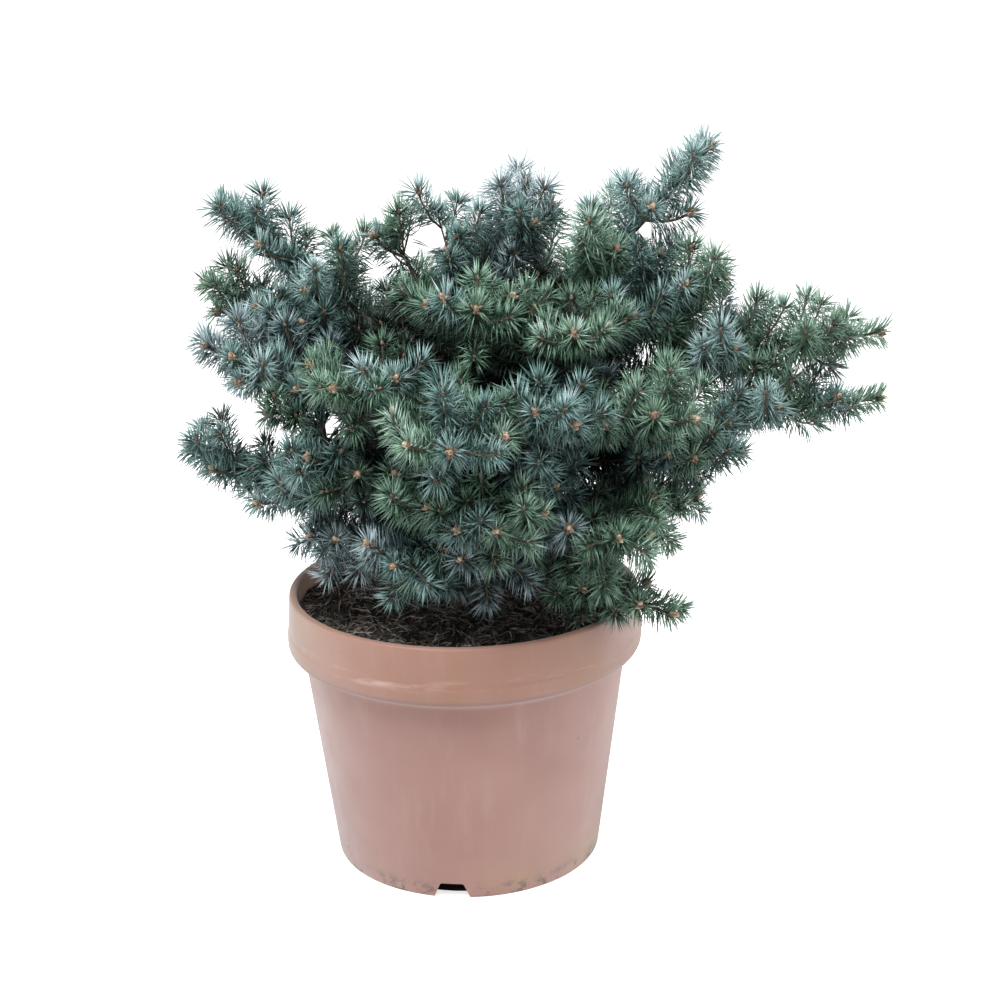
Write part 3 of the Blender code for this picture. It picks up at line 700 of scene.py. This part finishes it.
def tube_shape(path, radii, sides):
    """A closed tube with blunt ends along a path."""
    rings = rings_along(path, radii, sides)
    return closed_grid(rings, path[0], path[-1] + unit(path[-1] - path[-2]) * BLUNT_END)


def add_bud(bundle, foot, ahead, length, radius, slot):
    """An egg-shaped winter bud with stepped scales."""
    path = np.array([foot + ahead * length * t for t, _ in BUD_STATIONS])
    radii = np.array([radius * wide for _, wide in BUD_STATIONS])
    points, faces = tube_shape(path, radii, BUD_SIDES)
    points[-1] = foot + ahead * length
    bundle.add(points, faces, slot)


def add_buds(bundle, shoot, seed):
    """Buds at a shoot's tip: a close cluster on the main ones, one or two on the finer."""
    chance = random.Random(seed)
    tip = shoot.path[-1]
    ahead = unit(tip - shoot.path[-2])
    side, other = square_to(ahead)
    main = shoot.order < TWIG
    scale = 1.0 if main else FINE_SCALE
    slot = chance.choice((TAN, TAN, PALE)) if main else BROWN
    length, radius = (chance.uniform(*sizes) * scale for sizes in END_BUD)
    add_bud(bundle, tip - ahead * 0.8, ahead, length, radius, slot)
    count = chance.choice((5, 6) if main else (0, 1, 1))
    roll = chance.uniform(*ANY_TURN)
    for k in range(count):
        turn = roll + k * math.tau / count + chance.uniform(-0.3, 0.3)
        out = side * math.cos(turn) + other * math.sin(turn)
        aim = unit(ahead * chance.uniform(0.8, 1.3) + out * 0.8)
        foot = tip - ahead * chance.uniform(0.4, 2.6) + out
        length, radius = (chance.uniform(*sizes) * scale for sizes in SIDE_BUD)
        add_bud(bundle, foot, aim, length, radius, chance.choice((slot, BROWN, BROWN)))


class Nodes:
    """A new plain material, and short ways to add to its nodes. Places are in metres."""

    def __init__(self, name, colour, roughness):
        self.material = bpy.data.materials.new(name)
        self.material.use_nodes = True
        self.tree = self.material.node_tree
        self.shader = self.tree.nodes["Principled BSDF"]
        self.feed(colour, "Base Color")
        self.feed(roughness, "Roughness")

    def new(self, kind, inputs, **settings):
        """A new node's outputs."""
        node = self.tree.nodes.new("ShaderNode" + kind)
        for name, value in settings.items():
            setattr(node, name, value)
        for name, source in inputs.items():
            self.join(source, node.inputs[name])
        return node.outputs

    def join(self, source, target):
        """Give an input a number, a colour, scales or what another node puts out."""
        if isinstance(source, float):
            target.default_value = source
        elif isinstance(source, tuple):
            target.default_value = (*source, 1.0)[:len(target.default_value)]
        else:
            self.tree.links.new(source, target)

    def feed(self, source, name):
        self.join(source, self.shader.inputs[name])

    def place(self):
        return self.new("TexCoord", {})["Object"]

    def noise(self, scale, detail, roughness, stretch=(1.0, 1.0, 1.0)):
        place = self.new("Mapping", {"Vector": self.place(), "Scale": stretch})["Vector"]
        inputs = {"Vector": place, "Scale": scale, "Detail": detail, "Roughness": roughness}
        return self.new("TexNoise", inputs)["Fac"]

    def ramp(self, value, low, high, start=0.0, end=1.0):
        """Value carried from between low and high to between start and end."""
        inputs = {"Value": value, "From Min": low, "From Max": high, "To Min": start, "To Max": end}
        return self.new("MapRange", inputs, interpolation_type="SMOOTHSTEP")["Result"]

    def maths(self, operation, a, b):
        return self.new("Math", {0: a, 1: b}, operation=operation)["Value"]

    def both(self, a, b):
        return self.maths("MULTIPLY", a, b)

    def band(self, z, height, start, full, last, end):
        """1 from full to last, in millimetres from a height, fading to 0 at start and end."""
        start, full, last, end = ((height + step) * MM for step in (start, full, last, end))
        return self.both(self.ramp(z, start, full), self.ramp(z, end, last))

    def mix(self, share, a, b):
        return self.new("Mix", {"Factor": share, 6: a, 7: b}, data_type="RGBA")[2]

    def bump(self, height, strength, distance):
        inputs = {"Height": height, "Strength": strength, "Distance": distance}
        self.feed(self.new("Bump", inputs)["Normal"], "Normal")


def collar_colours(nodes, z, colour):
    """Warmer patches on the collar, shade under it, and a band of chalk at its fold."""
    on_collar = nodes.ramp(z, (COLLAR_BOTTOM - 3) * MM, COLLAR_BOTTOM * MM)
    ochre = nodes.ramp(nodes.noise(14.0, 2.0, 0.5), 0.36, 0.60, 0.45, 0.95)
    colour = nodes.mix(nodes.both(on_collar, ochre), colour, (0.212, 0.101, 0.059))
    colour = nodes.mix(nodes.band(z, COLLAR_BOTTOM, -7, -4, -1, 1), colour, (0.190, 0.084, 0.060))
    marks = nodes.noise(1.0, 5.0, 0.65, stretch=(22.0, 22.0, 120.0))
    chalk = nodes.both(nodes.band(z, COLLAR_BOTTOM + COLLAR_FOLD, -6, -2, 0, 5),
                       nodes.ramp(marks, 0.48, 0.72, 0.0, 0.36))
    return nodes.mix(chalk, colour, (0.520, 0.420, 0.390)), chalk


def foot_colours(nodes, z, colour):
    """Stains low on the wall, and smears at its foot: partly dirt, partly painted shade."""
    stain = nodes.both(nodes.ramp(z, 34 * MM, 4 * MM),
                       nodes.ramp(nodes.noise(15.0, 4.0, 0.6), 0.46, 0.64, 0.0, 0.8))
    # Partly dirt and partly painted shade: dark smears within 15 mm of the foot
    dirt_and_painted_shade = nodes.both(nodes.ramp(z, 15 * MM, 2 * MM),
                       nodes.ramp(nodes.noise(70.0, 8.0, 0.72), 0.50, 0.58, 0.0, 0.95))
    colour = nodes.mix(stain, colour, (0.270, 0.165, 0.090))
    return nodes.mix(dirt_and_painted_shade, colour, (0.075, 0.048, 0.030))


def splashes(nodes, z):
    """Small round dots, more of them low down."""
    cells = nodes.new("TexVoronoi", {"Vector": nodes.place(), "Scale": 54.0})
    dot = nodes.ramp(cells["Distance"], 0.10, 0.05)
    pick = nodes.new("SeparateColor", {"Color": cells["Color"]})["Red"]
    rare = nodes.maths("GREATER_THAN", pick, 0.60)
    return nodes.both(nodes.both(dot, rare), nodes.ramp(z, 130 * MM, 50 * MM, 0.2, 1.0))


def pot_material():
    """Clay-coloured plastic with soft mottling and streaks, dusty, stained and specked."""
    nodes = Nodes("pot_plastic", (0.36, 0.21, 0.17), 0.46)
    nodes.feed(0.21, "Sheen Weight")
    nodes.feed(0.6, "Sheen Roughness")
    nodes.feed((0.66, 0.92, 1.0), "Sheen Tint")
    z = nodes.new("SeparateXYZ", {"Vector": nodes.place()})["Z"]
    cloudy = nodes.ramp(nodes.noise(9.0, 3.0, 0.5), 0.35, 0.68)
    streaks = nodes.noise(1.0, 5.0, 0.6, stretch=(70.0, 70.0, 9.0))
    colour = nodes.mix(cloudy, (0.226, 0.106, 0.083), (0.268, 0.137, 0.109))
    worn = nodes.ramp(streaks, 0.52, 0.8, 0.0, 0.35)
    colour = nodes.mix(worn, colour, (0.345, 0.225, 0.195))
    colour, chalk = collar_colours(nodes, z, colour)
    colour = foot_colours(nodes, z, colour)
    nodes.feed(nodes.mix(splashes(nodes, z), colour, (0.10, 0.045, 0.03)), "Base Color")
    rough = nodes.ramp(nodes.noise(26.0, 4.0, 0.6), 0.3, 0.7, 0.47, 0.62)
    nodes.feed(nodes.maths("ADD", rough, nodes.both(chalk, 0.3)), "Roughness")
    nodes.bump(nodes.noise(220.0, 4.0, 0.6), 0.12, 0.4 * MM)
    return nodes.material


def peat_material(name, dark, light, scale):
    nodes = Nodes(name, dark, 0.95)
    grain = nodes.ramp(nodes.noise(scale, 6.0, 0.7), 0.36, 0.70)
    nodes.feed(nodes.mix(grain, dark, light), "Base Color")
    nodes.bump(nodes.noise(scale * 4.0, 5.0, 0.65), 0.7, 0.8 * MM)
    return nodes.material


def bark_material(name, dark, light, scale):
    """Scaly bark: long flakes with darker cracks between them."""
    nodes = Nodes(name, dark, 0.88)
    flakes = nodes.noise(scale, 6.0, 0.62, stretch=(1.0, 1.0, 0.45))
    colour = nodes.mix(nodes.ramp(flakes, 0.38, 0.64), dark, light)
    lichen = nodes.ramp(nodes.noise(scale * 0.35, 3.0, 0.5), 0.60, 0.72, 0.0, 0.5)
    nodes.feed(nodes.mix(lichen, colour, (0.17, 0.165, 0.13)), "Base Color")
    nodes.bump(flakes, 0.6, 0.7 * MM)
    return nodes.material


def add_object(name, data, materials=()):
    thing = bpy.data.objects.new(name, data)
    for material in materials:
        data.materials.append(material)
    bpy.context.scene.collection.objects.link(thing)
    return thing


def hand_in(piece, slot, *nodes):
    """Put a piece on the part's body in the place of the named solids."""
    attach(piece, "root")
    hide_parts(*nodes)


def rounded(corners, steps=5):
    """A section from (r, z, cut) rows, each corner rounded by its own cut-back."""
    spots = np.array([corner[:2] for corner in corners])
    line = [spots[0]]
    for before, here, after, (_, _, cut) in zip(spots, spots[1:], spots[2:], corners[1:]):
        if cut:
            start = here + unit(before - here) * cut
            end = here + unit(after - here) * cut
            line += list(bend(start, here, end, steps))
        else:
            line.append(here)
    return np.array(line + [spots[-1]])


def turned(section, turns):
    """A closed body of revolution. Its section begins and ends on the axis, bottom first."""
    angles = np.arange(turns) * math.tau / turns
    r, z = section[1:-1, 0][:, None], section[1:-1, 1][:, None]
    rings = np.stack([r * np.cos(angles), r * np.sin(angles), z + 0.0 * angles], axis=-1)
    return closed_grid(rings, upward(section[0, 1]), upward(section[-1, 1]))


def add_notches(shape):
    """Bars that cut the notches through the foot ring."""
    wide, narrow = NOTCH_WIDTH / 2, NOTCH_TOP_WIDTH / 2
    outline = rounded([(-wide, -CUT_BELOW, 0), (-wide, 0.0, 0),
                       (-narrow, NOTCH_HEIGHT, NOTCH_ROUND), (narrow, NOTCH_HEIGHT, NOTCH_ROUND),
                       (wide, 0.0, 0), (wide, -CUT_BELOW, 0)])
    for k in range(NOTCHES):
        turn = Matrix.Rotation(math.radians(NOTCH_BEARING + 360.0 * k / NOTCHES), 4, "Z")
        ends = [[shape.verts.new(turn @ Vector((out, across, z)) * MM) for across, z in outline]
                for out in (BASE_RADIUS - 2.0 * FOOT_WIDTH, BASE_RADIUS + FOOT_WIDTH)]
        for end in ends:
            shape.faces.new(end)
        for i in range(len(outline)):
            j = (i + 1) % len(outline)
            shape.faces.new((ends[0][i], ends[0][j], ends[1][j], ends[1][i]))


def add_drains(shape):
    """Pegs that cut the drain holes through the floor over the channel."""
    for k in range(DRAINS):
        turn = math.radians(NOTCH_BEARING + 360.0 * (k + 0.5) / DRAINS)
        x, y = DRAIN_RING * math.cos(turn), DRAIN_RING * math.sin(turn)
        bmesh.ops.create_cone(shape, cap_ends=True, segments=32, radius1=DRAIN_RADIUS * MM,
                              radius2=DRAIN_RADIUS * MM, depth=4 * WALL * MM,
                              matrix=Matrix.Translation(Vector((x, y, CHANNEL_HEIGHT)) * MM))


def foot_cutter():
    """What is cut from the pot's foot."""
    shape = bmesh.new()
    add_notches(shape)
    add_drains(shape)
    bmesh.ops.recalc_face_normals(shape, faces=shape.faces)
    mesh = bpy.data.meshes.new("foot_cutter")
    shape.to_mesh(mesh)
    shape.free()
    return add_object("foot_cutter", mesh)


def pot_section():
    """Half the pot's section: from the underside's middle, over the rim and down inside."""
    foot_inner = BASE_RADIUS - FOOT_ROUND - FOOT_WIDTH
    floor = CHANNEL_HEIGHT + WALL
    return rounded([
        (0.0, 0.0, 0),
        (DISC_RADIUS, 0.0, 1.2),
        (DISC_RADIUS + FOOT_ROUND, CHANNEL_HEIGHT, 1.2),
        (foot_inner - FOOT_ROUND, CHANNEL_HEIGHT, 1.2),
        (foot_inner, 0.0, 1.2),
        (BASE_RADIUS - 0.2, 0.0, 2.2),
        (WALL_TOP_RADIUS, STEP_BOTTOM, 2.6),
        (COLLAR_RADIUS - 1.6, COLLAR_BOTTOM - 3.0, 2.6),
        (COLLAR_RADIUS, COLLAR_BOTTOM + 1.0, 1.8),
        (COLLAR_RADIUS - 0.2, COLLAR_BOTTOM + COLLAR_FOLD - 2.0, 1.6),
        (COLLAR_RADIUS - 0.9, COLLAR_BOTTOM + COLLAR_FOLD, 1.6),
        (RIM_RADIUS + 0.1, POT_HEIGHT, 2.6),
        (LIP_RADIUS, POT_HEIGHT, 2.0),
        (LIP_RADIUS, COLLAR_BOTTOM + FOOT_ROUND, 2.0),
        (WALL_TOP_RADIUS - WALL, STEP_BOTTOM, 2.0),
        (BASE_RADIUS - WALL + 0.8, floor, 2.0),
        (DISC_RADIUS - 1.0, floor, 1.2),
        (DISC_RADIUS - WALL, WALL, 1.2),
        (0.0, WALL, 0),
    ])


def make_pot():
    bundle = Bundle()
    bundle.add(*turned(pot_section(), POT_SIDES), 0)
    pot = bundle.mesh("pot_shell", [pot_material()], True)
    cutter = foot_cutter()
    cut = pot.modifiers.new("notches and drains", "BOOLEAN")
    cut.operation = "DIFFERENCE"
    cut.object = cutter
    graph = bpy.context.evaluated_depsgraph_get()
    pot.data = bpy.data.meshes.new_from_object(pot.evaluated_get(graph), depsgraph=graph)
    pot.modifiers.clear()
    bpy.data.objects.remove(cutter)
    pot.data.set_sharp_from_angle(angle=math.radians(SHARP_FROM))
    hand_in(pot, "pot_plastic", "pot")


def mix_height(x, y):
    """The mix's surface at a place: higher and calmer round the trunk."""
    out = math.hypot(x, y)
    steps = (MIX_FLAT_RADIUS, MIX_MIDDLE_RADIUS, RIM_RADIUS)
    level = np.interp(out, steps, (MIX_TOP, MIX_MIDDLE, MIX_EDGE))
    waves = sum(noise.noise(Vector((x, y, layer)) / width) * height
                for layer, width, height in MIX_WAVES)
    return level - MIX_SUNK + waves * np.interp(out, (10.0, 30.0), (0.4, 1.0))


def add_mix_body(bundle, lip):
    """The mix's rough top, and the smooth wall and floor under it."""
    floor = CHANNEL_HEIGHT + WALL + 0.4
    angles = np.arange(MIX_SIDES) * math.tau / MIX_SIDES
    walls = [(BASE_RADIUS - WALL - 0.5, floor), (WALL_TOP_RADIUS - WALL - 0.8, STEP_BOTTOM),
             (lip, COLLAR_BOTTOM + 2.4)]
    rings = [np.stack([r * np.cos(angles), r * np.sin(angles), np.full(MIX_SIDES, z)], axis=-1)
             for r, z in walls]
    for r in np.linspace(lip, 1.2, MIX_RINGS):
        spots = [(r * math.cos(a), r * math.sin(a)) for a in angles]
        rings.append(np.array([(x, y, mix_height(x, y)) for x, y in spots]))
    middle = upward(mix_height(0.0, 0.0))
    bundle.add(*closed_grid(np.array(rings), upward(floor), middle), DARK_PEAT)


def make_mix():
    """The potting mix, with crumbs, chips of bark and dry fibres on it."""
    lip = LIP_RADIUS - 0.2
    bundle = Bundle()
    add_mix_body(bundle, lip)
    chance = random.Random("crumbs")
    for k in range(CRUMBS + CHIPS):
        size = chance.uniform(*(CRUMB_SIZES if k < CRUMBS else CHIP_SIZES))
        spot = on_mix(chance, lip - size - 0.5)
        add_crumb(bundle, spot, size, chance, chance.choice((DARK_PEAT, BROWN_PEAT, BROWN_PEAT)))
    for k in range(FIBRES):
        add_fibre(bundle, on_mix(chance, lip - 4.0), chance, lip - 0.8)
    materials = [peat_material("peat_dark", (0.008, 0.0065, 0.0055), (0.034, 0.028, 0.023), 300.0),
                 peat_material("peat_brown", (0.020, 0.016, 0.013), (0.078, 0.062, 0.050), 260.0),
                 peat_material("dry_fibre", (0.070, 0.062, 0.056), (0.400, 0.360, 0.325), 170.0),
                 peat_material("old_needle", (0.060, 0.046, 0.037), (0.230, 0.176, 0.138), 140.0)]
    hand_in(bundle.mesh("mix_surface", materials, False), "potting_mix", "potting_mix")


def on_mix(chance, reach):
    """A spot on the mix's surface, spread evenly over the disc."""
    out, turn = reach * math.sqrt(chance.random()), chance.uniform(0.0, math.tau)
    x, y = out * math.cos(turn), out * math.sin(turn)
    return np.array([x, y, mix_height(x, y)])


def add_crumb(bundle, spot, size, chance, slot):
    """A lump with eight uneven faces, a little sunk in the mix."""
    turn = Matrix.Rotation(chance.uniform(*ANY_TURN), 3, (chance.random(), chance.random(), 1.0))
    corners = []
    for axis in range(3):
        for sign in (1.0, -1.0):
            reach = [0.0, 0.0, 0.0]
            reach[axis] = sign * size * chance.uniform(0.6, 1.2)
            corners.append(turn @ Vector(reach))
    faces = [(0, 2, 4), (2, 1, 4), (1, 3, 4), (3, 0, 4), (2, 0, 5), (1, 2, 5), (3, 1, 5), (0, 3, 5)]
    points = np.array(corners) + spot + upward(size * 0.35)
    bundle.add(points, np.array(faces), slot)


def add_fibre(bundle, spot, chance, reach):
    """A thin dry fibre, or a fallen needle, that lies on the mix."""
    fallen = chance.random() < FALLEN_SHARE
    length = chance.uniform(*(FALLEN_LENGTHS if fallen else FIBRE_LENGTHS))
    turn = chance.uniform(*ANY_TURN)
    curl = 0.0 if fallen else chance.uniform(-0.7, 0.7)
    rise = chance.uniform(0.2, 4.0)
    path = [spot]
    for step in range(FIBRE_STEPS):
        turn += curl / FIBRE_STEPS
        x = path[-1][0] + math.cos(turn) * length / FIBRE_STEPS
        y = path[-1][1] + math.sin(turn) * length / FIBRE_STEPS
        out = math.hypot(x, y)
        if out > reach:
            x, y = x * reach / out, y * reach / out
        path.append(np.array([x, y, mix_height(x, y)]))
    path = np.array(path)
    tilt = chance.choice(((0.1, 1.0), (1.0, 0.1), (0.5, 0.5)))
    path[:, 2] += 0.3 + rise * np.linspace(*tilt, FIBRE_STEPS + 1)
    if np.linalg.norm(np.diff(path, axis=0), axis=1).min() < 0.3:
        return
    thick = chance.uniform(*(FALLEN_RADII if fallen else FIBRE_RADII))
    points, faces = tube_shape(path, np.array(FIBRE_TAPER) * thick, 3)
    bundle.add(points, faces, OLD_NEEDLE if fallen else DRY_FIBRE)


def bark_tube(path, radii, sides, relief, grain):
    """A limb whose surface stands out and sinks in by noise."""
    rings = rings_along(path, radii, sides)
    out = unit(rings - path[:, None])
    shift = np.array([[sum(height * noise.noise(Vector((x, y, z * upright)) / (grain * share))
                           for upright, share, height in BARK_WAVES)
                       for x, y, z in ring] for ring in rings])
    rings = rings + out * (shift * relief)[..., None]
    return closed_grid(rings, path[0], path[-1])


def make_trunk():
    """The trunk, with root ridges in the flare at its foot."""
    flare_rows = np.linspace(TRUNK_FOOT - BURIED, TRUNK_FOOT + FLARED, FLARE_RINGS)
    stem_rows = np.linspace(TRUNK_FOOT + STEM_START, TRUNK_TOP, STEM_RINGS)
    heights = np.concatenate([flare_rows, stem_rows])
    path = np.array([trunk_axis(z) for z in heights])
    angles = np.arange(TRUNK_SIDES) * math.tau / TRUNK_SIDES
    flare = np.exp(-np.maximum(heights - TRUNK_FOOT, 0.0) / FLARE_HEIGHT)
    radii = np.array([trunk_radius(max(z, TRUNK_FOOT)) for z in heights])
    ridges = flare[:, None] * ROOT_RIDGE * np.sin(angles * ROOTS + ROOT_TURN)[None]
    radii = radii[:, None] - BARK_DEPTH + ridges
    bundle = Bundle()
    bundle.add(*bark_tube(path, radii, TRUNK_SIDES, relief=0.55, grain=3.4), 0)
    bark = bark_material("bark_trunk", (0.034, 0.026, 0.020), (0.120, 0.092, 0.070), 230.0)
    hand_in(bundle.mesh("trunk_bark", [bark], True), "bark", "trunk")


def make_boughs():
    """All boughs as one mesh, each thicker towards the trunk."""
    bundle = Bundle()
    names = [name for name in MASSES if MASSES[name][3] is not None]
    for name in names:
        path = split_limb(name)[0]
        whole = lengths_along(limb_path(name))[-1]
        finer = np.linspace(0, len(path) - 1, 3 * len(path))
        path = between_rows(finer, np.arange(len(path)), path)
        radii = BOUGH_RADIUS + np.linspace(BOUGH_SWELL * whole, 0.0, len(path))
        bundle.add(*bark_tube(path, radii, BOUGH_SIDES, relief=0.35, grain=1.8), 0)
    bark = bark_material("bark_bough", (0.070, 0.050, 0.036), (0.225, 0.160, 0.112), 420.0)
    boughs = bundle.mesh("bough_bark", [bark], True)
    hand_in(boughs, "bark", *("bough_" + name for name in names))


def bud_material(name, dark, light):
    """Papery bud scales, lighter where they are worn."""
    nodes = Nodes(name, light, 0.6)
    worn = nodes.ramp(nodes.noise(650.0, 4.0, 0.6), 0.34, 0.62)
    nodes.feed(nodes.mix(worn, dark, light), "Base Color")
    return nodes.material


def needle_material(name, colour):
    nodes = Nodes(name, colour, 0.38)
    nodes.feed(0.55, "Specular IOR Level")
    return nodes.material


def make_mass(name, shoots, looks):
    """The needles, twigs and buds of one mass, a piece each."""
    bundles = Bundle(), Bundle(), Bundle()
    needles, twigs, buds = bundles
    for k, shoot in enumerate(shoots):
        clothe(needles, shoot, f"needles {k} of {name}")
        radii = np.linspace(*shoot.radii, len(shoot.path))
        bark = OLD_BARK if shoot.order == STEM else YOUNG_BARK
        twigs.add(*tube_shape(shoot.path, radii, TWIG_SIDES), bark)
        add_buds(buds, shoot, f"buds {k} of {name}")
    bough = split_limb(name)[0]
    if bough is not None:
        limb = Shoot(bough, LIMB, LIMB_TONE, LEAF_GREEN, (BOUGH_RADIUS, BOUGH_RADIUS))
        clothe(needles, limb, "needles on bough " + name, first=0.3, density=0.9)
    for (kind, slot, materials), bundle in zip(looks, bundles):
        hand_in(bundle.mesh(kind + "_" + name, materials, True), slot, "foliage_" + name)


def make_foliage(crown):
    twigs = [bark_material("twig_young", (0.036, 0.034, 0.022), (0.090, 0.078, 0.050), 500.0),
             bark_material("twig_old", (0.032, 0.026, 0.020), (0.085, 0.066, 0.050), 420.0)]
    buds = [bud_material("bud_tan", (0.105, 0.066, 0.042), (0.380, 0.265, 0.180)),
            bud_material("bud_brown", (0.050, 0.036, 0.024), (0.170, 0.120, 0.082)),
            bud_material("bud_pale", (0.180, 0.125, 0.080), (0.500, 0.385, 0.275))]
    needles = [needle_material(f"needle_tone_{k}", c) for k, c in enumerate(NEEDLE_COLOURS)]
    looks = (("needles", "needles", needles), ("twigs", "bark", twigs), ("buds", "needles", buds))
    for name in MASSES:
        make_mass(name, crown.shoots[name], looks)


def floor_material():
    """White that glows for the camera, and painted shade under the pot, where no light reaches."""
    nodes = Nodes("floor_white_with_painted_shade", (0.92, 0.92, 0.92), 0.9)
    away = nodes.new("VectorMath", {"Vector": nodes.place()}, operation="LENGTH")["Value"]
    # Painted shade: inside this radius the floor is coloured dark and does not glow
    painted_shade_radius = (BASE_RADIUS - FOOT_WIDTH - 2.0) * MM
    outside_painted_shade = nodes.maths("GREATER_THAN", away, painted_shade_radius)
    nodes.feed(nodes.mix(outside_painted_shade, (0.03, 0.025, 0.022), (0.92, 0.92, 0.92)), "Base Color")
    seen = nodes.new("LightPath", {})["Is Camera Ray"]
    nodes.feed((1.0, 1.0, 1.0), "Emission Color")
    nodes.feed(nodes.both(nodes.both(outside_painted_shade, seen), FLOOR_GLOW), "Emission Strength")
    return nodes.material


def make_world():
    """White surroundings, brighter for the camera than for what they light."""
    world = bpy.data.worlds.new("white_studio")
    world.use_nodes = True
    tree = world.node_tree
    background = tree.nodes["Background"]
    background.inputs["Color"].default_value = (1.0, 1.0, 1.0, 1.0)
    seen = tree.nodes.new("ShaderNodeLightPath")
    strength = tree.nodes.new("ShaderNodeMapRange")
    strength.inputs["To Min"].default_value = WORLD_LIGHT
    strength.inputs["To Max"].default_value = WORLD_SEEN
    tree.links.new(seen.outputs["Is Camera Ray"], strength.inputs["Value"])
    tree.links.new(strength.outputs["Result"], background.inputs["Strength"])
    bpy.context.scene.world = world


def make_stage():
    bpy.ops.mesh.primitive_plane_add(size=60.0)
    floor = bpy.context.object
    floor.name = "floor"
    floor.data.materials.append(floor_material())
    make_world()
    for row in LIGHTS:
        add_light(*row)
    bpy.context.scene.view_settings.view_transform = "Standard"


def add_light(name, place, watts, size):
    data = bpy.data.lights.new(name, "AREA")
    data.energy = watts
    data.size = size
    light = add_object(name, data)
    light.location = place
    aim = Vector(LIT_POINT) - Vector(place)
    light.rotation_euler = aim.to_track_quat("-Z", "Y").to_euler()


def make_camera():
    data = bpy.data.cameras.new("camera")
    data.sensor_width = SENSOR
    data.lens = LENS
    right, up, ahead = camera_axes()
    turn = Matrix((right, up, -ahead)).transposed()
    camera = add_object("camera", data)
    camera.matrix_world = Matrix.Translation(CAMERA_PLACE) @ turn.to_4x4()
    bpy.context.scene.camera = camera


make_camera()
make_stage()
make_pot()
make_mix()
make_trunk()
make_boughs()
make_foliage(grow_crown())
